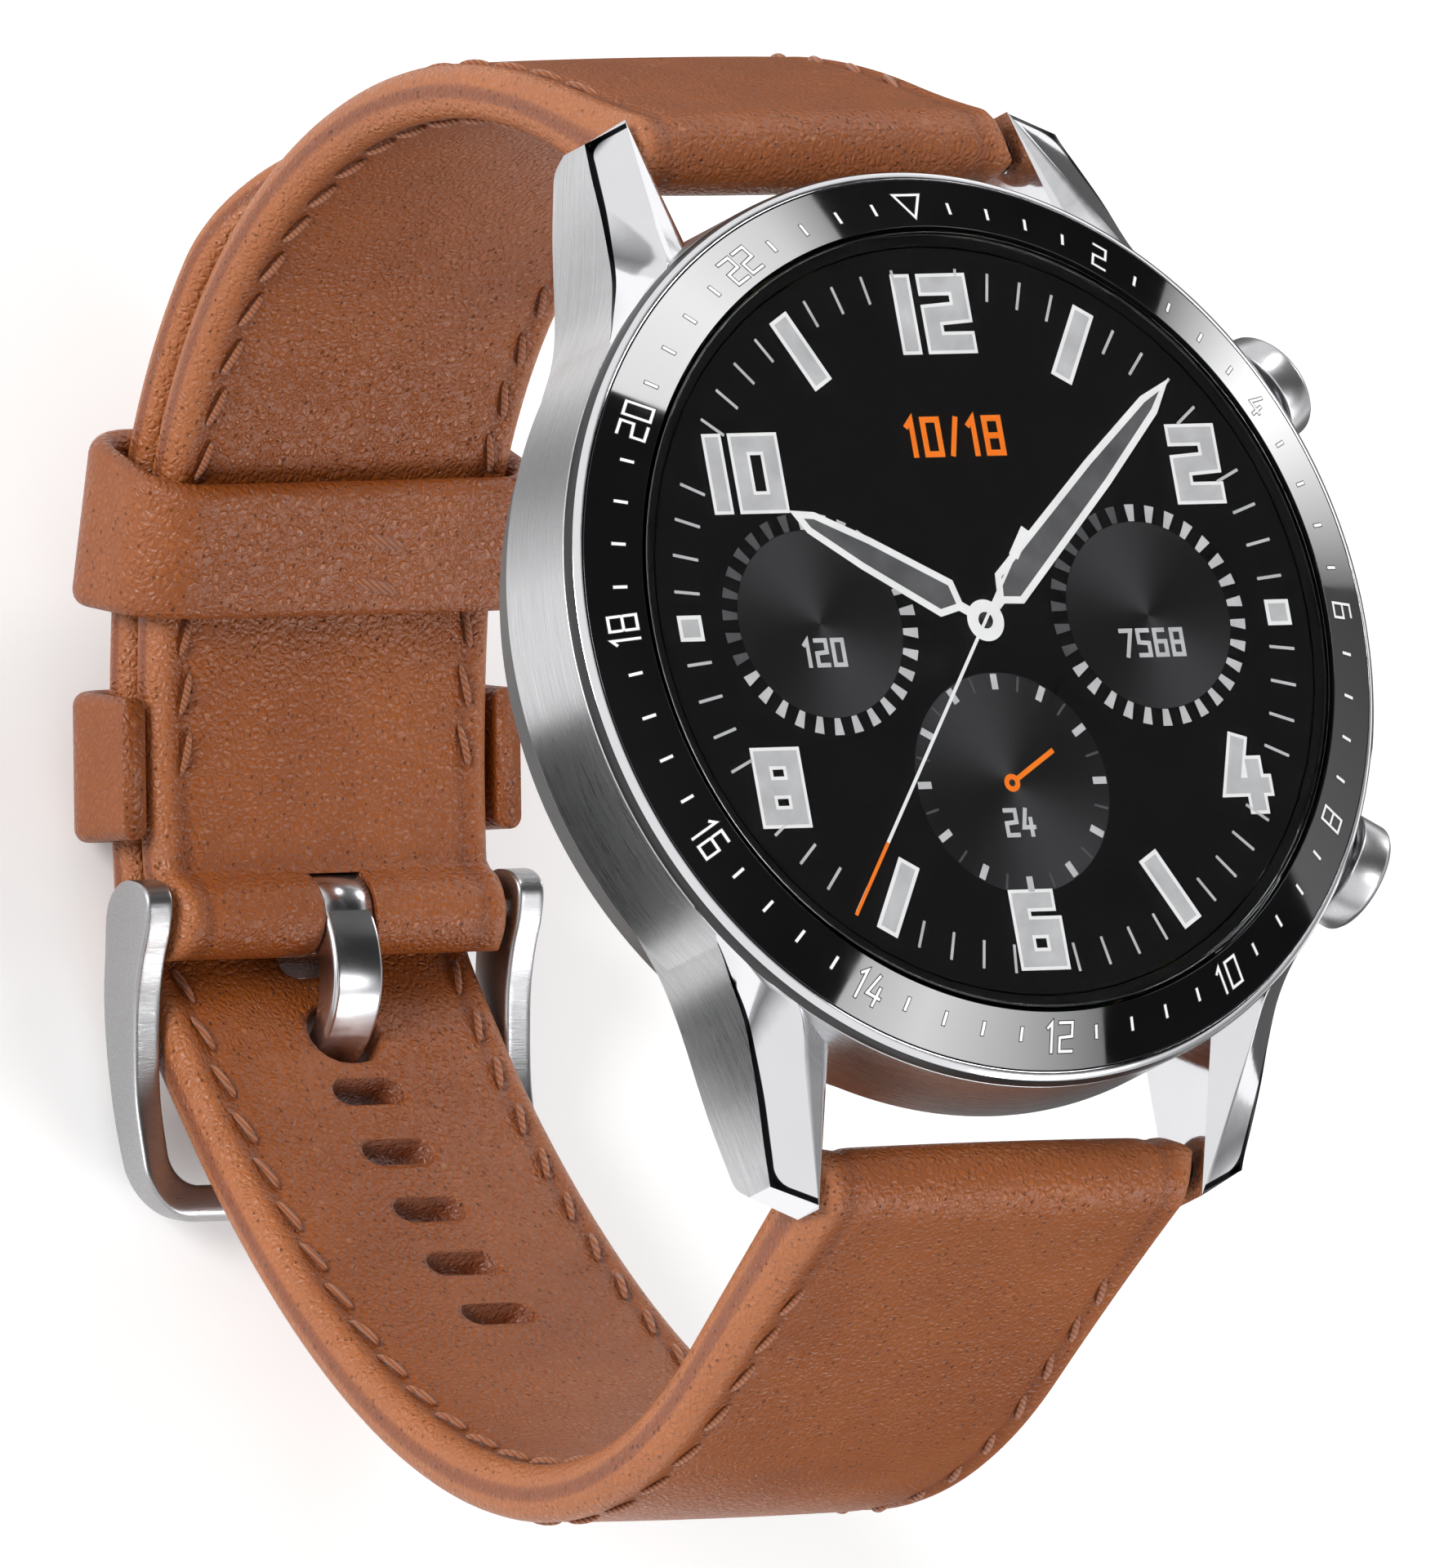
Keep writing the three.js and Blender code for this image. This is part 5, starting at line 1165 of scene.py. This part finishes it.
def seen_directly(tree):
    """1 on camera, glossy and transmission rays, 0 on the rest."""
    path = node(tree, "ShaderNodeLightPath").outputs
    both = math_node(tree, "MAXIMUM", path["Is Camera Ray"], path["Is Glossy Ray"])
    return math_node(tree, "MAXIMUM", both, path["Is Transmission Ray"])


world = bpy.data.worlds.new("studio")
bpy.context.scene.world = world
world.use_nodes = True
tree = world.node_tree
tree.nodes["Background"].inputs["Color"].default_value = WHITE
strength = math_node(tree, "MULTIPLY_ADD", seen_directly(tree), 1 - EVEN_LIGHT, EVEN_LIGHT)
feed(tree.nodes["Background"], Strength=strength)

# The front glass is left out of what the lamps light, or their mirrored discs would blot out the dial from behind.
left_out = bpy.data.collections.new("left_out_of_the_lamps")
left_out.objects.link(glass)
left_out.collection_objects[0].light_linking.link_state = "EXCLUDE"
for name, way, strength in (("key_lamp", (-0.86, 0.24, 0.42), 2.3), ("front_lamp", (0.55, -0.72, 0.42), 1.3),
                            ("back_lamp", (0.55, 0.63, 0.54), 0.7)):
    data = bpy.data.lights.new(name, "SUN")
    data.energy, data.angle = strength, math.radians(LAMP_WIDTH)
    lamp = bpy.data.objects.new(name, data)
    bpy.context.scene.collection.objects.link(lamp)
    lamp.rotation_euler = Vector([-c for c in way]).to_track_quat("-Z", "Y").to_euler()
    lamp.light_linking.receiver_collection = left_out


def stage_grid(name, grid):
    """A sheet of the stage from a grid of points in millimetres."""
    sheet = new_object(name, grid, grid_faces(*grid.shape[:2]).tolist())
    return sheet


edge = np.linspace(-FLOOR_REACH, FLOOR_REACH, 2)
floor = stage_grid("floor", np.dstack(np.meshgrid(edge, edge, indexing="ij") + [np.full((2, 2), FLOOR_Z)]))
paper, tree, shader = new_material("floor_paper", Base_Color=(FLOOR_COLOUR,) * 3 + (1,), Roughness=0.9,
                                   Specular_IOR_Level=0.0, Emission_Color=WHITE)
feed(shader, Emission_Strength=math_node(tree, "MULTIPLY", seen_directly(tree), FLOOR_LIFT))
floor.data.materials.append(paper)
print("world", EVEN_LIGHT, "floor at", FLOOR_Z, "mm")

# %% [markdown]
# Polished metal and black gloss show what stands round them. A photographer surrounds them with black flags, which
# give them dark lines, and with softboxes, which give them bright fields. They stand far off, they are seen only
# in mirrors, and they throw no light or shadow on anything matt.

# %% Flags and softboxes
DOME_RADIUS, SOFTBOX_SPREAD = 1400.0, 3.2
TO_CAMERA = -FORWARD
MIRROR_WAY = np.array([-TO_CAMERA[0], -TO_CAMERA[1], TO_CAMERA[2]])
CONE_TILT = math.atan(CONE_SLOPE)


def round_flag(name, middle, reach, distance, black_to, rings=24, sides=48):
    """A round piece of a sphere about the watch, on polar rows: an angle from the middle way, and a turn round it.
    It is black out to an angle, and from there grows light evenly to its rim."""
    side = directions(np.cross(middle, [0, 0, 1]))
    degrees = np.linspace(0.01, reach, rings)
    off = np.radians(degrees)[:, None, None]
    a = np.linspace(0, 2 * np.pi, sides + 1)[None, :, None]
    round_it = np.cos(a) * side + np.sin(a) * np.cross(side, middle)
    sheet = stage_grid(name, distance * (np.cos(off) * middle + np.sin(off) * round_it))
    return carry(sheet, "glow", np.repeat(np.clip((degrees - black_to) / (reach - black_to), 0, 1), sides + 1))


def bezel_way(angle, extra_tilt):
    """Where the bezel looks at an angle, for the camera: the way to it, mirrored in the cone's own normal there, as
    2 (n . v) n - v."""
    tilt = CONE_TILT + extra_tilt
    n = np.column_stack([math.sin(tilt) * unit(angle), np.full(len(angle), math.cos(tilt))])
    return 2 * (n @ TO_CAMERA)[..., None] * n - TO_CAMERA


def light_sheet(name, strength):
    """A glowing or black finish for a softbox or a flag. Its glow fades as the sheet's own points say."""
    made, tree, shader = new_material(name, Base_Color=BLACK, Specular_IOR_Level=0.0, Emission_Color=WHITE)
    glow = node(tree, "ShaderNodeAttribute", attribute_name="glow").outputs["Fac"]
    feed(shader, Emission_Strength=math_node(tree, "MULTIPLY", glow, strength))
    return made


def bezel_softbox(name, start, end, glow, count=25):
    """A softbox that the bezel shows between two angles. It follows the bezel's own mirrored ways, a little wider."""
    angle = np.radians(np.linspace(start, end, count))
    spread = np.radians(np.linspace(-SOFTBOX_SPREAD, SOFTBOX_SPREAD, 5))
    rows = np.stack([bezel_way(angle, tilt) for tilt in spread], axis=1)
    sheet = stage_grid(name, DOME_RADIUS * 0.9 * rows)
    return carry(sheet, "glow", np.repeat(np.interp(np.linspace(0, 1, count), *glow), 5))


def low_flag(name, start, end, low, high, z, glow):
    """A flag that lies beside the case, below its wall: a piece of a flat ring between two angles and two radii."""
    angle = np.radians(np.linspace(start, end, 17))[:, None]
    r = np.array([low, high])[None, :]
    sheet = stage_grid(name, np.dstack([r * np.cos(angle), r * np.sin(angle), np.full((17, 2), z)]))
    return carry(sheet, "glow", np.repeat(np.interp(np.linspace(0, 1, 17), *glow), 2))


def horizon_band(name, start, end, distance):
    """A grey band of a sphere about the watch, between two turns, darkest a little above the horizon."""
    turn = np.radians(np.linspace(start, end, 60))[:, None]
    rise = np.radians(np.array([-8.0, 0.0, 6.0, 12.0, 22.0]))[None, :]
    way = np.stack([np.cos(rise) * np.cos(turn), np.cos(rise) * np.sin(turn), np.sin(rise) + 0 * turn], axis=-1)
    return carry(stage_grid(name, distance * way), "glow", np.tile([1.0, 0.5, 0.25, 0.5, 1.0], 60))


flag_cloth, bezel_light = light_sheet("flag_cloth", 1.0), light_sheet("softbox_glow", 10.0)
sheets = [
    (round_flag("flag_overhead", MIRROR_WAY, reach=54, distance=DOME_RADIUS, black_to=46.5), flag_cloth),
    (bezel_softbox("softbox_upper", 104, 147, ([0, 0.2, 0.6, 1], [0.3, 0.7, 1.0, 0.9])), bezel_light),
    (bezel_softbox("softbox_lower", 237, 277, ([0, 0.3, 0.6, 1], [0.55, 0.8, 0.55, 0.2])), bezel_light),
    (bezel_softbox("softbox_right", 3, 50, ([0, 0.3, 0.6, 1], [0.12, 0.5, 0.9, 0.15])), bezel_light),
    (low_flag("flag_beside_wall", 183.5, 223, 27, 46, -10, ([0], [0])), flag_cloth),
    (low_flag("flag_upper_wall", 127, 160, 27, 46, -10, ([0, 0.3, 0.5, 1], [0.9, 0.4, 0.35, 1])), flag_cloth),
    (low_flag("flag_on_floor", -80, 80, 50, 320, FLOOR_Z + 0.5, ([0], [0.12])), flag_cloth),
    (horizon_band("flag_horizon", 104, 375, DOME_RADIUS * 0.95), flag_cloth),
]
for sheet, finish in sheets:
    sheet.data.materials.append(finish)
    sheet.visible_camera = sheet.visible_diffuse = sheet.visible_shadow = False
print("flags and softboxes:", [sheet.name for sheet, _ in sheets])

# %% [markdown]
# ## Finishes
# Every finish is worked out from the place on the piece, in millimetres. What several finishes share is a node
# group: leather's grain, small pits, soft patches of tint, and the lines that a brush leaves in metal.

# %% Helpers for finishes
FLOAT, VECTOR = "NodeSocketFloat", "NodeSocketVector"


def new_group(name, inputs, output):
    """A shader node group with an input for its place and inputs with a value each: its tree, inputs and output."""
    tree = bpy.data.node_groups.new(name, "ShaderNodeTree")
    tree.interface.new_socket("Place", in_out="INPUT", socket_type=VECTOR)
    for label, value in inputs.items():
        kind = VECTOR if isinstance(value, tuple) else FLOAT
        tree.interface.new_socket(label, in_out="INPUT", socket_type=kind).default_value = value
    for label in output:
        tree.interface.new_socket(label, in_out="OUTPUT", socket_type=FLOAT)
    return tree, tree.nodes.new("NodeGroupInput").outputs, tree.nodes.new("NodeGroupOutput")


def vector_node(tree, operation, *values, **scale):
    """A Vector Math node and its vector output."""
    return node(tree, "ShaderNodeVectorMath", {**dict(enumerate(values)), **scale}, operation=operation).outputs[0]


def map_range(tree, value, low, high, to_low=0.0, to_high=1.0, smooth=False):
    """A clamped change of range, straight or eased at both ends."""
    inputs = {"Value": value, "From Min": low, "From Max": high, "To Min": to_low, "To Max": to_high}
    kind = "SMOOTHSTEP" if smooth else "LINEAR"
    return node(tree, "ShaderNodeMapRange", inputs, interpolation_type=kind).outputs["Result"]


def noise(tree, place, scale, detail, roughness=0.5, output="Fac"):
    """A cloud of noise about a place: so many waves per millimetre, with so many finer layers."""
    inputs = {"Vector": place, "Scale": scale, "Detail": detail, "Roughness": roughness}
    return node(tree, "ShaderNodeTexNoise", inputs).outputs[output]


def new_finish(name, **values):
    """A new material, and the place on its piece in millimetres."""
    made, tree, shader = new_material(name, **values)
    here = node(tree, "ShaderNodeTexCoord").outputs["Object"]
    return made, tree, shader, vector_node(tree, "SCALE", here, Scale=1 / MILLIMETRE)


def use_group(tree, group, **inputs):
    """Places a shared group with its own values and gives its outputs."""
    return node(tree, "ShaderNodeGroup", inputs, node_tree=group).outputs


def patches(tree, place, size, contrast):
    """The tint of soft patches about a place."""
    return use_group(tree, patch_group, Place=place, Size=size, Contrast=contrast)["Tint"]


def blend(tree, share, first, second):
    """A colour between two, by a share from 0 to 1."""
    return node(tree, "ShaderNodeMix", {0: share, 6: first, 7: second}, data_type="RGBA").outputs[2]


def mix_where(tree, surface_colour, mark, share, tone):
    """A colour mixed with another where a mark is, all over it by a share from 0 to 1: real stains and dye, and
    painted light or shade alike.
    """
    return blend(tree, math_node(tree, "MULTIPLY", mark, share), surface_colour, tone)


def raise_bump(tree, shader, height, millimetres):
    """Feeds a Bump node, whose height of 1 stands a number of millimetres tall, to a shader's Normal."""
    bump = node(tree, "ShaderNodeBump", {"Height": height, "Strength": 1.0, "Distance": millimetres * MILLIMETRE})
    feed(shader, Normal=bump.outputs["Normal"])


def colour(red, green, blue):
    """An sRGB colour of 0 to 255, as the linear numbers that shaders use: ((c + 0.055) / 1.055)^2.4."""
    shares = (red / 255, green / 255, blue / 255)
    return (*(c / 12.92 if c <= 0.04045 else ((c + 0.055) / 1.055) ** 2.4 for c in shares), 1.0)


def shaded(tone, share):
    """A linear colour times a share."""
    return (*(c * share for c in tone[:3]), 1.0)


def attribute(tree, name):
    """The value that a piece's points carry under a name."""
    return node(tree, "ShaderNodeAttribute", attribute_name=name).outputs["Fac"]


# %% Shared groups
grain_group, given, result = new_group("leather_grain", {"Size": 0.5}, ["Height", "Crease"])
tree = grain_group
scale = math_node(tree, "DIVIDE", 1.0, given["Size"])
sway = noise(tree, given["Place"], 0.8, 2.0, output="Color")
swayed = vector_node(tree, "MULTIPLY_ADD", sway, (0.5, 0.5, 0.5), given["Place"])
pebble = node(tree, "ShaderNodeTexVoronoi", {"Vector": swayed, "Scale": scale}, feature="DISTANCE_TO_EDGE")
domed = map_range(tree, pebble.outputs["Distance"], 0.0, 0.34, smooth=True)
fine = noise(tree, swayed, math_node(tree, "MULTIPLY", scale, 1.7), 2.5, 0.55)
feed(result, Height=math_node(tree, "MULTIPLY_ADD", fine, 0.55, math_node(tree, "MULTIPLY", domed, 0.3)),
     Crease=math_node(tree, "SUBTRACT", 1.0, domed))

pit_group, given, result = new_group("scattered_pits", {"Size": 1.0, "Share": 0.5}, ["Pit"])
tree = pit_group
cells = node(tree, "ShaderNodeTexVoronoi", {"Vector": given["Place"],
             "Scale": math_node(tree, "DIVIDE", 1.0, given["Size"])})
chance = node(tree, "ShaderNodeSeparateColor", {0: cells.outputs["Color"]}).outputs[0]
chosen = math_node(tree, "LESS_THAN", chance, given["Share"])
reach = map_range(tree, chance, 0.0, 1.0, 0.16, 0.32)
pit = math_node(tree, "SUBTRACT", 1.0, math_node(tree, "DIVIDE", cells.outputs["Distance"], reach), clamp=True)
feed(result, Pit=math_node(tree, "MULTIPLY", pit, chosen))

patch_group, given, result = new_group("soft_patches", {"Size": 8.0, "Contrast": 1.0}, ["Tint"])
tree = patch_group
cloud = noise(tree, given["Place"], math_node(tree, "DIVIDE", 1.0, given["Size"]), 4.0, 0.55)
centred = math_node(tree, "MULTIPLY", math_node(tree, "SUBTRACT", cloud, 0.5), given["Contrast"])
feed(result, Tint=math_node(tree, "ADD", centred, 0.5, clamp=True))

brush_group, given, result = new_group("brush_lines", {"Stretch": (9.0, 9.0, 0.25)}, ["Line"])
tree = brush_group
lines = noise(tree, vector_node(tree, "MULTIPLY", given["Place"], given["Stretch"]), 1.0, 3.0, 0.65)
feed(result, Line=map_range(tree, lines, 0.25, 0.75))
print("groups:", [group.name for group in bpy.data.node_groups])

# %% [markdown]
# Leather is dyed unevenly, and its grain is a field of small domes with creases between them. Its creases, pits and
# stitch channels are darkened as painted shade, and scattered light flecks are painted highlights. The strap carries
# the depth from its edge, so the painted edge can be dark, and the bead beside it is lighter as a painted highlight.

# %% Leather
def leather_finish(name, shade, light, grain_size, pit_share, strap):
    """Leather of two shades with grain, pits and, on a strap, a painted edge and a bead lightened as a painted
    highlight. Creases, pits and the stitch channel are darkened as painted shade, and light flecks are painted
    highlights. The tops of the grain are smoother than its creases."""
    made, tree, shader, place = new_finish(name, Specular_IOR_Level=0.5)
    grain = use_group(tree, grain_group, Place=place, Size=grain_size)
    pits = use_group(tree, pit_group, Place=place, Size=0.45, Share=pit_share)["Pit"]
    elsewhere = vector_node(tree, "ADD", place, (7.3, 1.9, 4.4))
    highlight_flecks = use_group(tree, pit_group, Place=elsewhere, Size=1.3, Share=0.35)["Pit"]
    surface_colour = blend(tree, patches(tree, place, 7.0, 1.5), shade, light)
    # The grain's creases are darkened: painted shade in the creases.
    surface_colour = mix_where(tree, surface_colour, grain["Crease"], 0.22, colour(96, 44, 20))
    # The pits are darkened: painted shade in the dents, whose depth is a real bump.
    surface_colour = mix_where(tree, surface_colour, pits, 0.7, colour(84, 36, 14))
    # Light flecks scattered over the grain: a painted highlight.
    surface_colour = mix_where(tree, surface_colour, highlight_flecks, 0.3, colour(206, 146, 104))
    if strap:
        depth = attribute(tree, "edge_depth")
        # The bead beside the edge is lightened: a painted highlight along it.
        surface_colour = mix_where(tree, surface_colour, map_range(tree, depth, 1.25, 0.55, smooth=True), 0.3, colour(198, 128, 84))
        surface_colour = mix_where(tree, surface_colour, map_range(tree, depth, 0.06, 0.0, smooth=True), 0.7, colour(108, 50, 24))
        # The stitch channel is darkened: painted shade in the recess.
        off = math_node(tree, "ABSOLUTE", math_node(tree, "SUBTRACT", depth, EDGE_CHANNEL))
        groove = math_node(tree, "SUBTRACT", 1.0, math_node(tree, "DIVIDE", off, 0.5), clamp=True)
        surface_colour = mix_where(tree, surface_colour, groove, 0.35, colour(92, 42, 20))
    feed(shader, Base_Color=surface_colour, Roughness=map_range(tree, grain["Height"], 0.25, 0.6, 0.46, 0.3))
    raise_bump(tree, shader, math_node(tree, "MULTIPLY_ADD", pits, -1.0, grain["Height"]), 0.16)
    return made


strap_leather = leather_finish("leather_strap", colour(134, 66, 14), colour(162, 87, 28), 0.4, 0.7, True)
keeper_leather = leather_finish("leather_keeper", colour(131, 65, 17), colour(157, 85, 31), 0.44, 0.6, False)

# %% Thread
thread, tree, shader, place = new_finish("thread_tan", Roughness=0.7, Sheen_Weight=0.25)
twist = node(tree, "ShaderNodeTexWave", {"Vector": place, "Scale": 1.6, "Distortion": 0.6, "Detail": 1.0},
             bands_direction="DIAGONAL").outputs["Fac"]
fuzz = noise(tree, place, 9.0, 3.0)
# The twist's light and dark bands are painted highlight and shade on the plies.
surface_colour = blend(tree, twist, colour(132, 70, 34), colour(182, 112, 66))
feed(shader, Base_Color=mix_where(tree, surface_colour, fuzz, 0.4, colour(120, 62, 30)))
raise_bump(tree, shader, math_node(tree, "MULTIPLY_ADD", fuzz, 0.4, twist), 0.06)

# %% [markdown]
# Brushed steel is a mirror with fine parallel scratches. The lines are noise stretched along the brushing, and
# they tilt the surface and change its roughness. Polished steel has only a breath of unevenness.

# %% Metals
def brushed_finish(name, tone, stretch, roughness, depth):
    """Metal with lines along its brushing. The stretch is the lines' fineness along X, Y and Z, per millimetre."""
    made, tree, shader, place = new_finish(name, Metallic=1.0)
    line = use_group(tree, brush_group, Place=place, Stretch=stretch)["Line"]
    rough = map_range(tree, line, 0, 1, roughness + 0.08, roughness - 0.04)
    feed(shader, Base_Color=blend(tree, line, shaded(tone, 0.72), tone),
         Roughness=math_node(tree, "MULTIPLY_ADD", patches(tree, place, 6.0, 1.0), 0.06, rough))
    raise_bump(tree, shader, line, depth)
    return made


def polished_finish(name, tone, roughness, outline=False):
    """Mirror metal with a breath of haze. On a lug, the facet's outline is painted dark, as a painted reflection
    along its edges.
    """
    made, tree, shader, place = new_finish(name, Metallic=1.0)
    haze = patches(tree, place, 3.0, 1.2)
    face = blend(tree, haze, shaded(tone, 0.93), tone)
    if outline:
        # The dark band along the facet's edges is a painted reflection.
        line = map_range(tree, attribute(tree, "outline_distance"), LINE_WIDTH + 0.06, LINE_WIDTH, smooth=True)
        face = blend(tree, line, face, colour(20, 20, 22))
    feed(shader, Base_Color=face, Roughness=map_range(tree, haze, 0, 1, roughness, roughness + 0.05))
    raise_bump(tree, shader, noise(tree, place, 1.2, 1.0), 0.004)
    return made


STEEL = colour(226, 226, 229)
wall_steel = brushed_finish("steel_brushed_wall", colour(206, 206, 208), (0.22, 0.22, 15.0), 0.24, 0.004)
buckle_steel = brushed_finish("steel_satin_buckle", colour(186, 186, 188), (1.0, 12.0, 12.0), 0.26, 0.003)
cap_steel = brushed_finish("steel_satin_cap", colour(212, 212, 214), (22.0, 22.0, 22.0), 0.26, 0.001)
bright_steel = polished_finish("steel_polished", STEEL, 0.06)
soft_steel = polished_finish("steel_soft", colour(214, 214, 217), 0.2)
facet_steel = polished_finish("steel_polished_facet", STEEL, 0.06, True)
plain_steel = polished_finish("steel_plain", colour(190, 190, 194), 0.25)

# %% [markdown]
# The bezel and the back are black ceramic: nearly no colour, a clear gloss, and hairline haze. The glass is clear
# and lies on a display, which glows by itself, so the dial's marks are given as light of their own colour.

# %% Black gloss, glass and display
def dark_gloss(name, tone, roughness, level, bump=0.0):
    """A black finish whose gloss varies a little."""
    made, tree, shader, place = new_finish(name, Specular_IOR_Level=level)
    haze = patches(tree, place, 2.5, 1.4)
    feed(shader, Base_Color=blend(tree, haze, tone, shaded(tone, 1.3)),
         Roughness=map_range(tree, haze, 0, 1, roughness, roughness + 0.05))
    if bump:
        raise_bump(tree, shader, noise(tree, place, 14.0, 2.0), bump)
    return made


ceramic = dark_gloss("ceramic_black", colour(16, 16, 17), 0.02, 1.0)
satin_black = dark_gloss("ceramic_black_satin", colour(22, 22, 23), 0.3, 0.5, 0.006)
plastic = dark_gloss("plastic_black", colour(30, 30, 32), 0.45, 0.5, 0.02)
rubber = dark_gloss("rubber_black", colour(24, 24, 24), 0.75, 0.3, 0.03)
display_black = dark_gloss("display_black", colour(34, 34, 35), 0.5, 0.1)
clear_glass, tree, shader, place = new_finish("glass_clear", Transmission_Weight=1.0, IOR=1.5, Roughness=0.0)
smear = patches(tree, place, 6.0, 1.0)
feed(shader, Roughness=map_range(tree, smear, 0, 1, 0.0, 0.02),
     Base_Color=blend(tree, smear, WHITE, (0.97, 0.98, 0.98, 1)))
dark_glass = dark_gloss("glass_sensor_dark", colour(18, 12, 14), 0.05, 0.8)


def glowing_print(name, tone, other, sheen=False):
    """A picture on the display: its light is its colour, with a soft variation or with a disc's turned sheen."""
    made, tree, shader, place = new_finish(name, Base_Color=(0.004, 0.004, 0.004, 1), Roughness=0.4,
                                           Emission_Strength=1.0)
    share = attribute(tree, "sheen") if sheen else patches(tree, place, 1.6, 2.0)
    feed(shader, Emission_Color=blend(tree, share, tone, other))
    return made


prints = {
    "white_marks": glowing_print("print_white", colour(236, 236, 236), colour(250, 250, 250)),
    "grey_marks": glowing_print("print_grey", colour(178, 178, 180), colour(208, 208, 210)),
    "dim_marks": glowing_print("print_dim", colour(70, 70, 72), colour(92, 92, 94)),
    "orange_marks": glowing_print("print_orange", colour(246, 120, 28), colour(255, 134, 40)),
    "discs": glowing_print("print_disc", colour(22, 22, 23), colour(60, 60, 62), True),
    "hand_fill": glowing_print("print_hand", colour(78, 78, 80), colour(104, 104, 106)),
}
enamel, tree, shader, place = new_finish("enamel_white", Roughness=0.35)
feed(shader, Base_Color=blend(tree, patches(tree, place, 1.0, 1.5), colour(226, 226, 224), colour(250, 250, 250)))

# %% Inside finishes
board, tree, shader, place = new_finish("board_green", Roughness=0.4, Coat_Weight=0.4)
cells = node(tree, "ShaderNodeTexVoronoi", {"Vector": place, "Scale": 0.8}, distance="CHEBYCHEV").outputs["Color"]
track = node(tree, "ShaderNodeSeparateColor", {0: cells}).outputs[0]
lane = math_node(tree, "GREATER_THAN", track, 0.72)
feed(shader, Base_Color=mix_where(tree, colour(18, 66, 42), lane, 0.6, colour(150, 122, 62)))
raise_bump(tree, shader, lane, 0.02)
copper = brushed_finish("copper_wire", colour(208, 128, 84), (5.0, 5.0, 5.0), 0.3, 0.02)
foil = brushed_finish("battery_foil", colour(176, 178, 182), (0.6, 0.6, 4.0), 0.35, 0.015)


# %% Dressing
def dress(pieces, *finishes):
    """Puts finishes on pieces that this script made, in the order of their faces' slots."""
    for piece in pieces:
        for finish in finishes:
            piece.data.materials.append(finish)


def dress_node(name, finish):
    """Puts a finish on a CAD node by its object's own slots, and leaves its mesh alone."""
    piece = bpy.data.objects[name]
    if not piece.material_slots:
        piece.data.materials.append(finish)
    for slot in piece.material_slots:
        slot.link = "OBJECT"
        slot.material = finish


for pieces, *finishes in (
        ([upper_strap, lower_strap], strap_leather), ([free_keeper, fixed_keeper], keeper_leather),
        ([upper_thread, lower_thread, keeper_thread], thread), ([buckle], buckle_steel),
        ([tongue, knuckle], soft_steel), (seats, bright_steel), ([rim], bright_steel, satin_black),
        (buttons, cap_steel), ([case_ring], wall_steel), ([case_back], satin_black), ([bezel], ceramic),
        ([glass], clear_glass), ([window], dark_glass), ([bezel_prints], enamel), ([shade_outline_prints], rubber),
        (lugs, bright_steel, wall_steel, facet_steel)):
    dress(pieces, *finishes)
for name, made in dial_prints.items():
    dress([made], prints[name])

INSIDE = {
    "glass_seal case_gasket": rubber, "display_panel": display_black, "sensor_board main_board": board,
    "charging_coil": copper, "inner_frame": plastic, "battery": foil, "speaker vibration_motor": plain_steel,
    "buckle_bar back_screw_1 back_screw_2 back_screw_3 back_screw_4": bright_steel,
    "frame_screw_1 frame_screw_2 frame_screw_3": bright_steel,
}
for above in ("upper", "lower"):
    INSIDE.update({
        f"{above}_button_seal": rubber, f"{above}_button_switch": plastic,
        f"{above}_button_clip {above}_bar_spring": plain_steel,
        f"{above}_bar_tube {above}_bar_left_pin {above}_bar_right_pin": bright_steel})
for names, finish in INSIDE.items():
    for name in names.split():
        dress_node(name, finish)
print("dressed", sum(len(names.split()) for names in INSIDE), "CAD nodes")
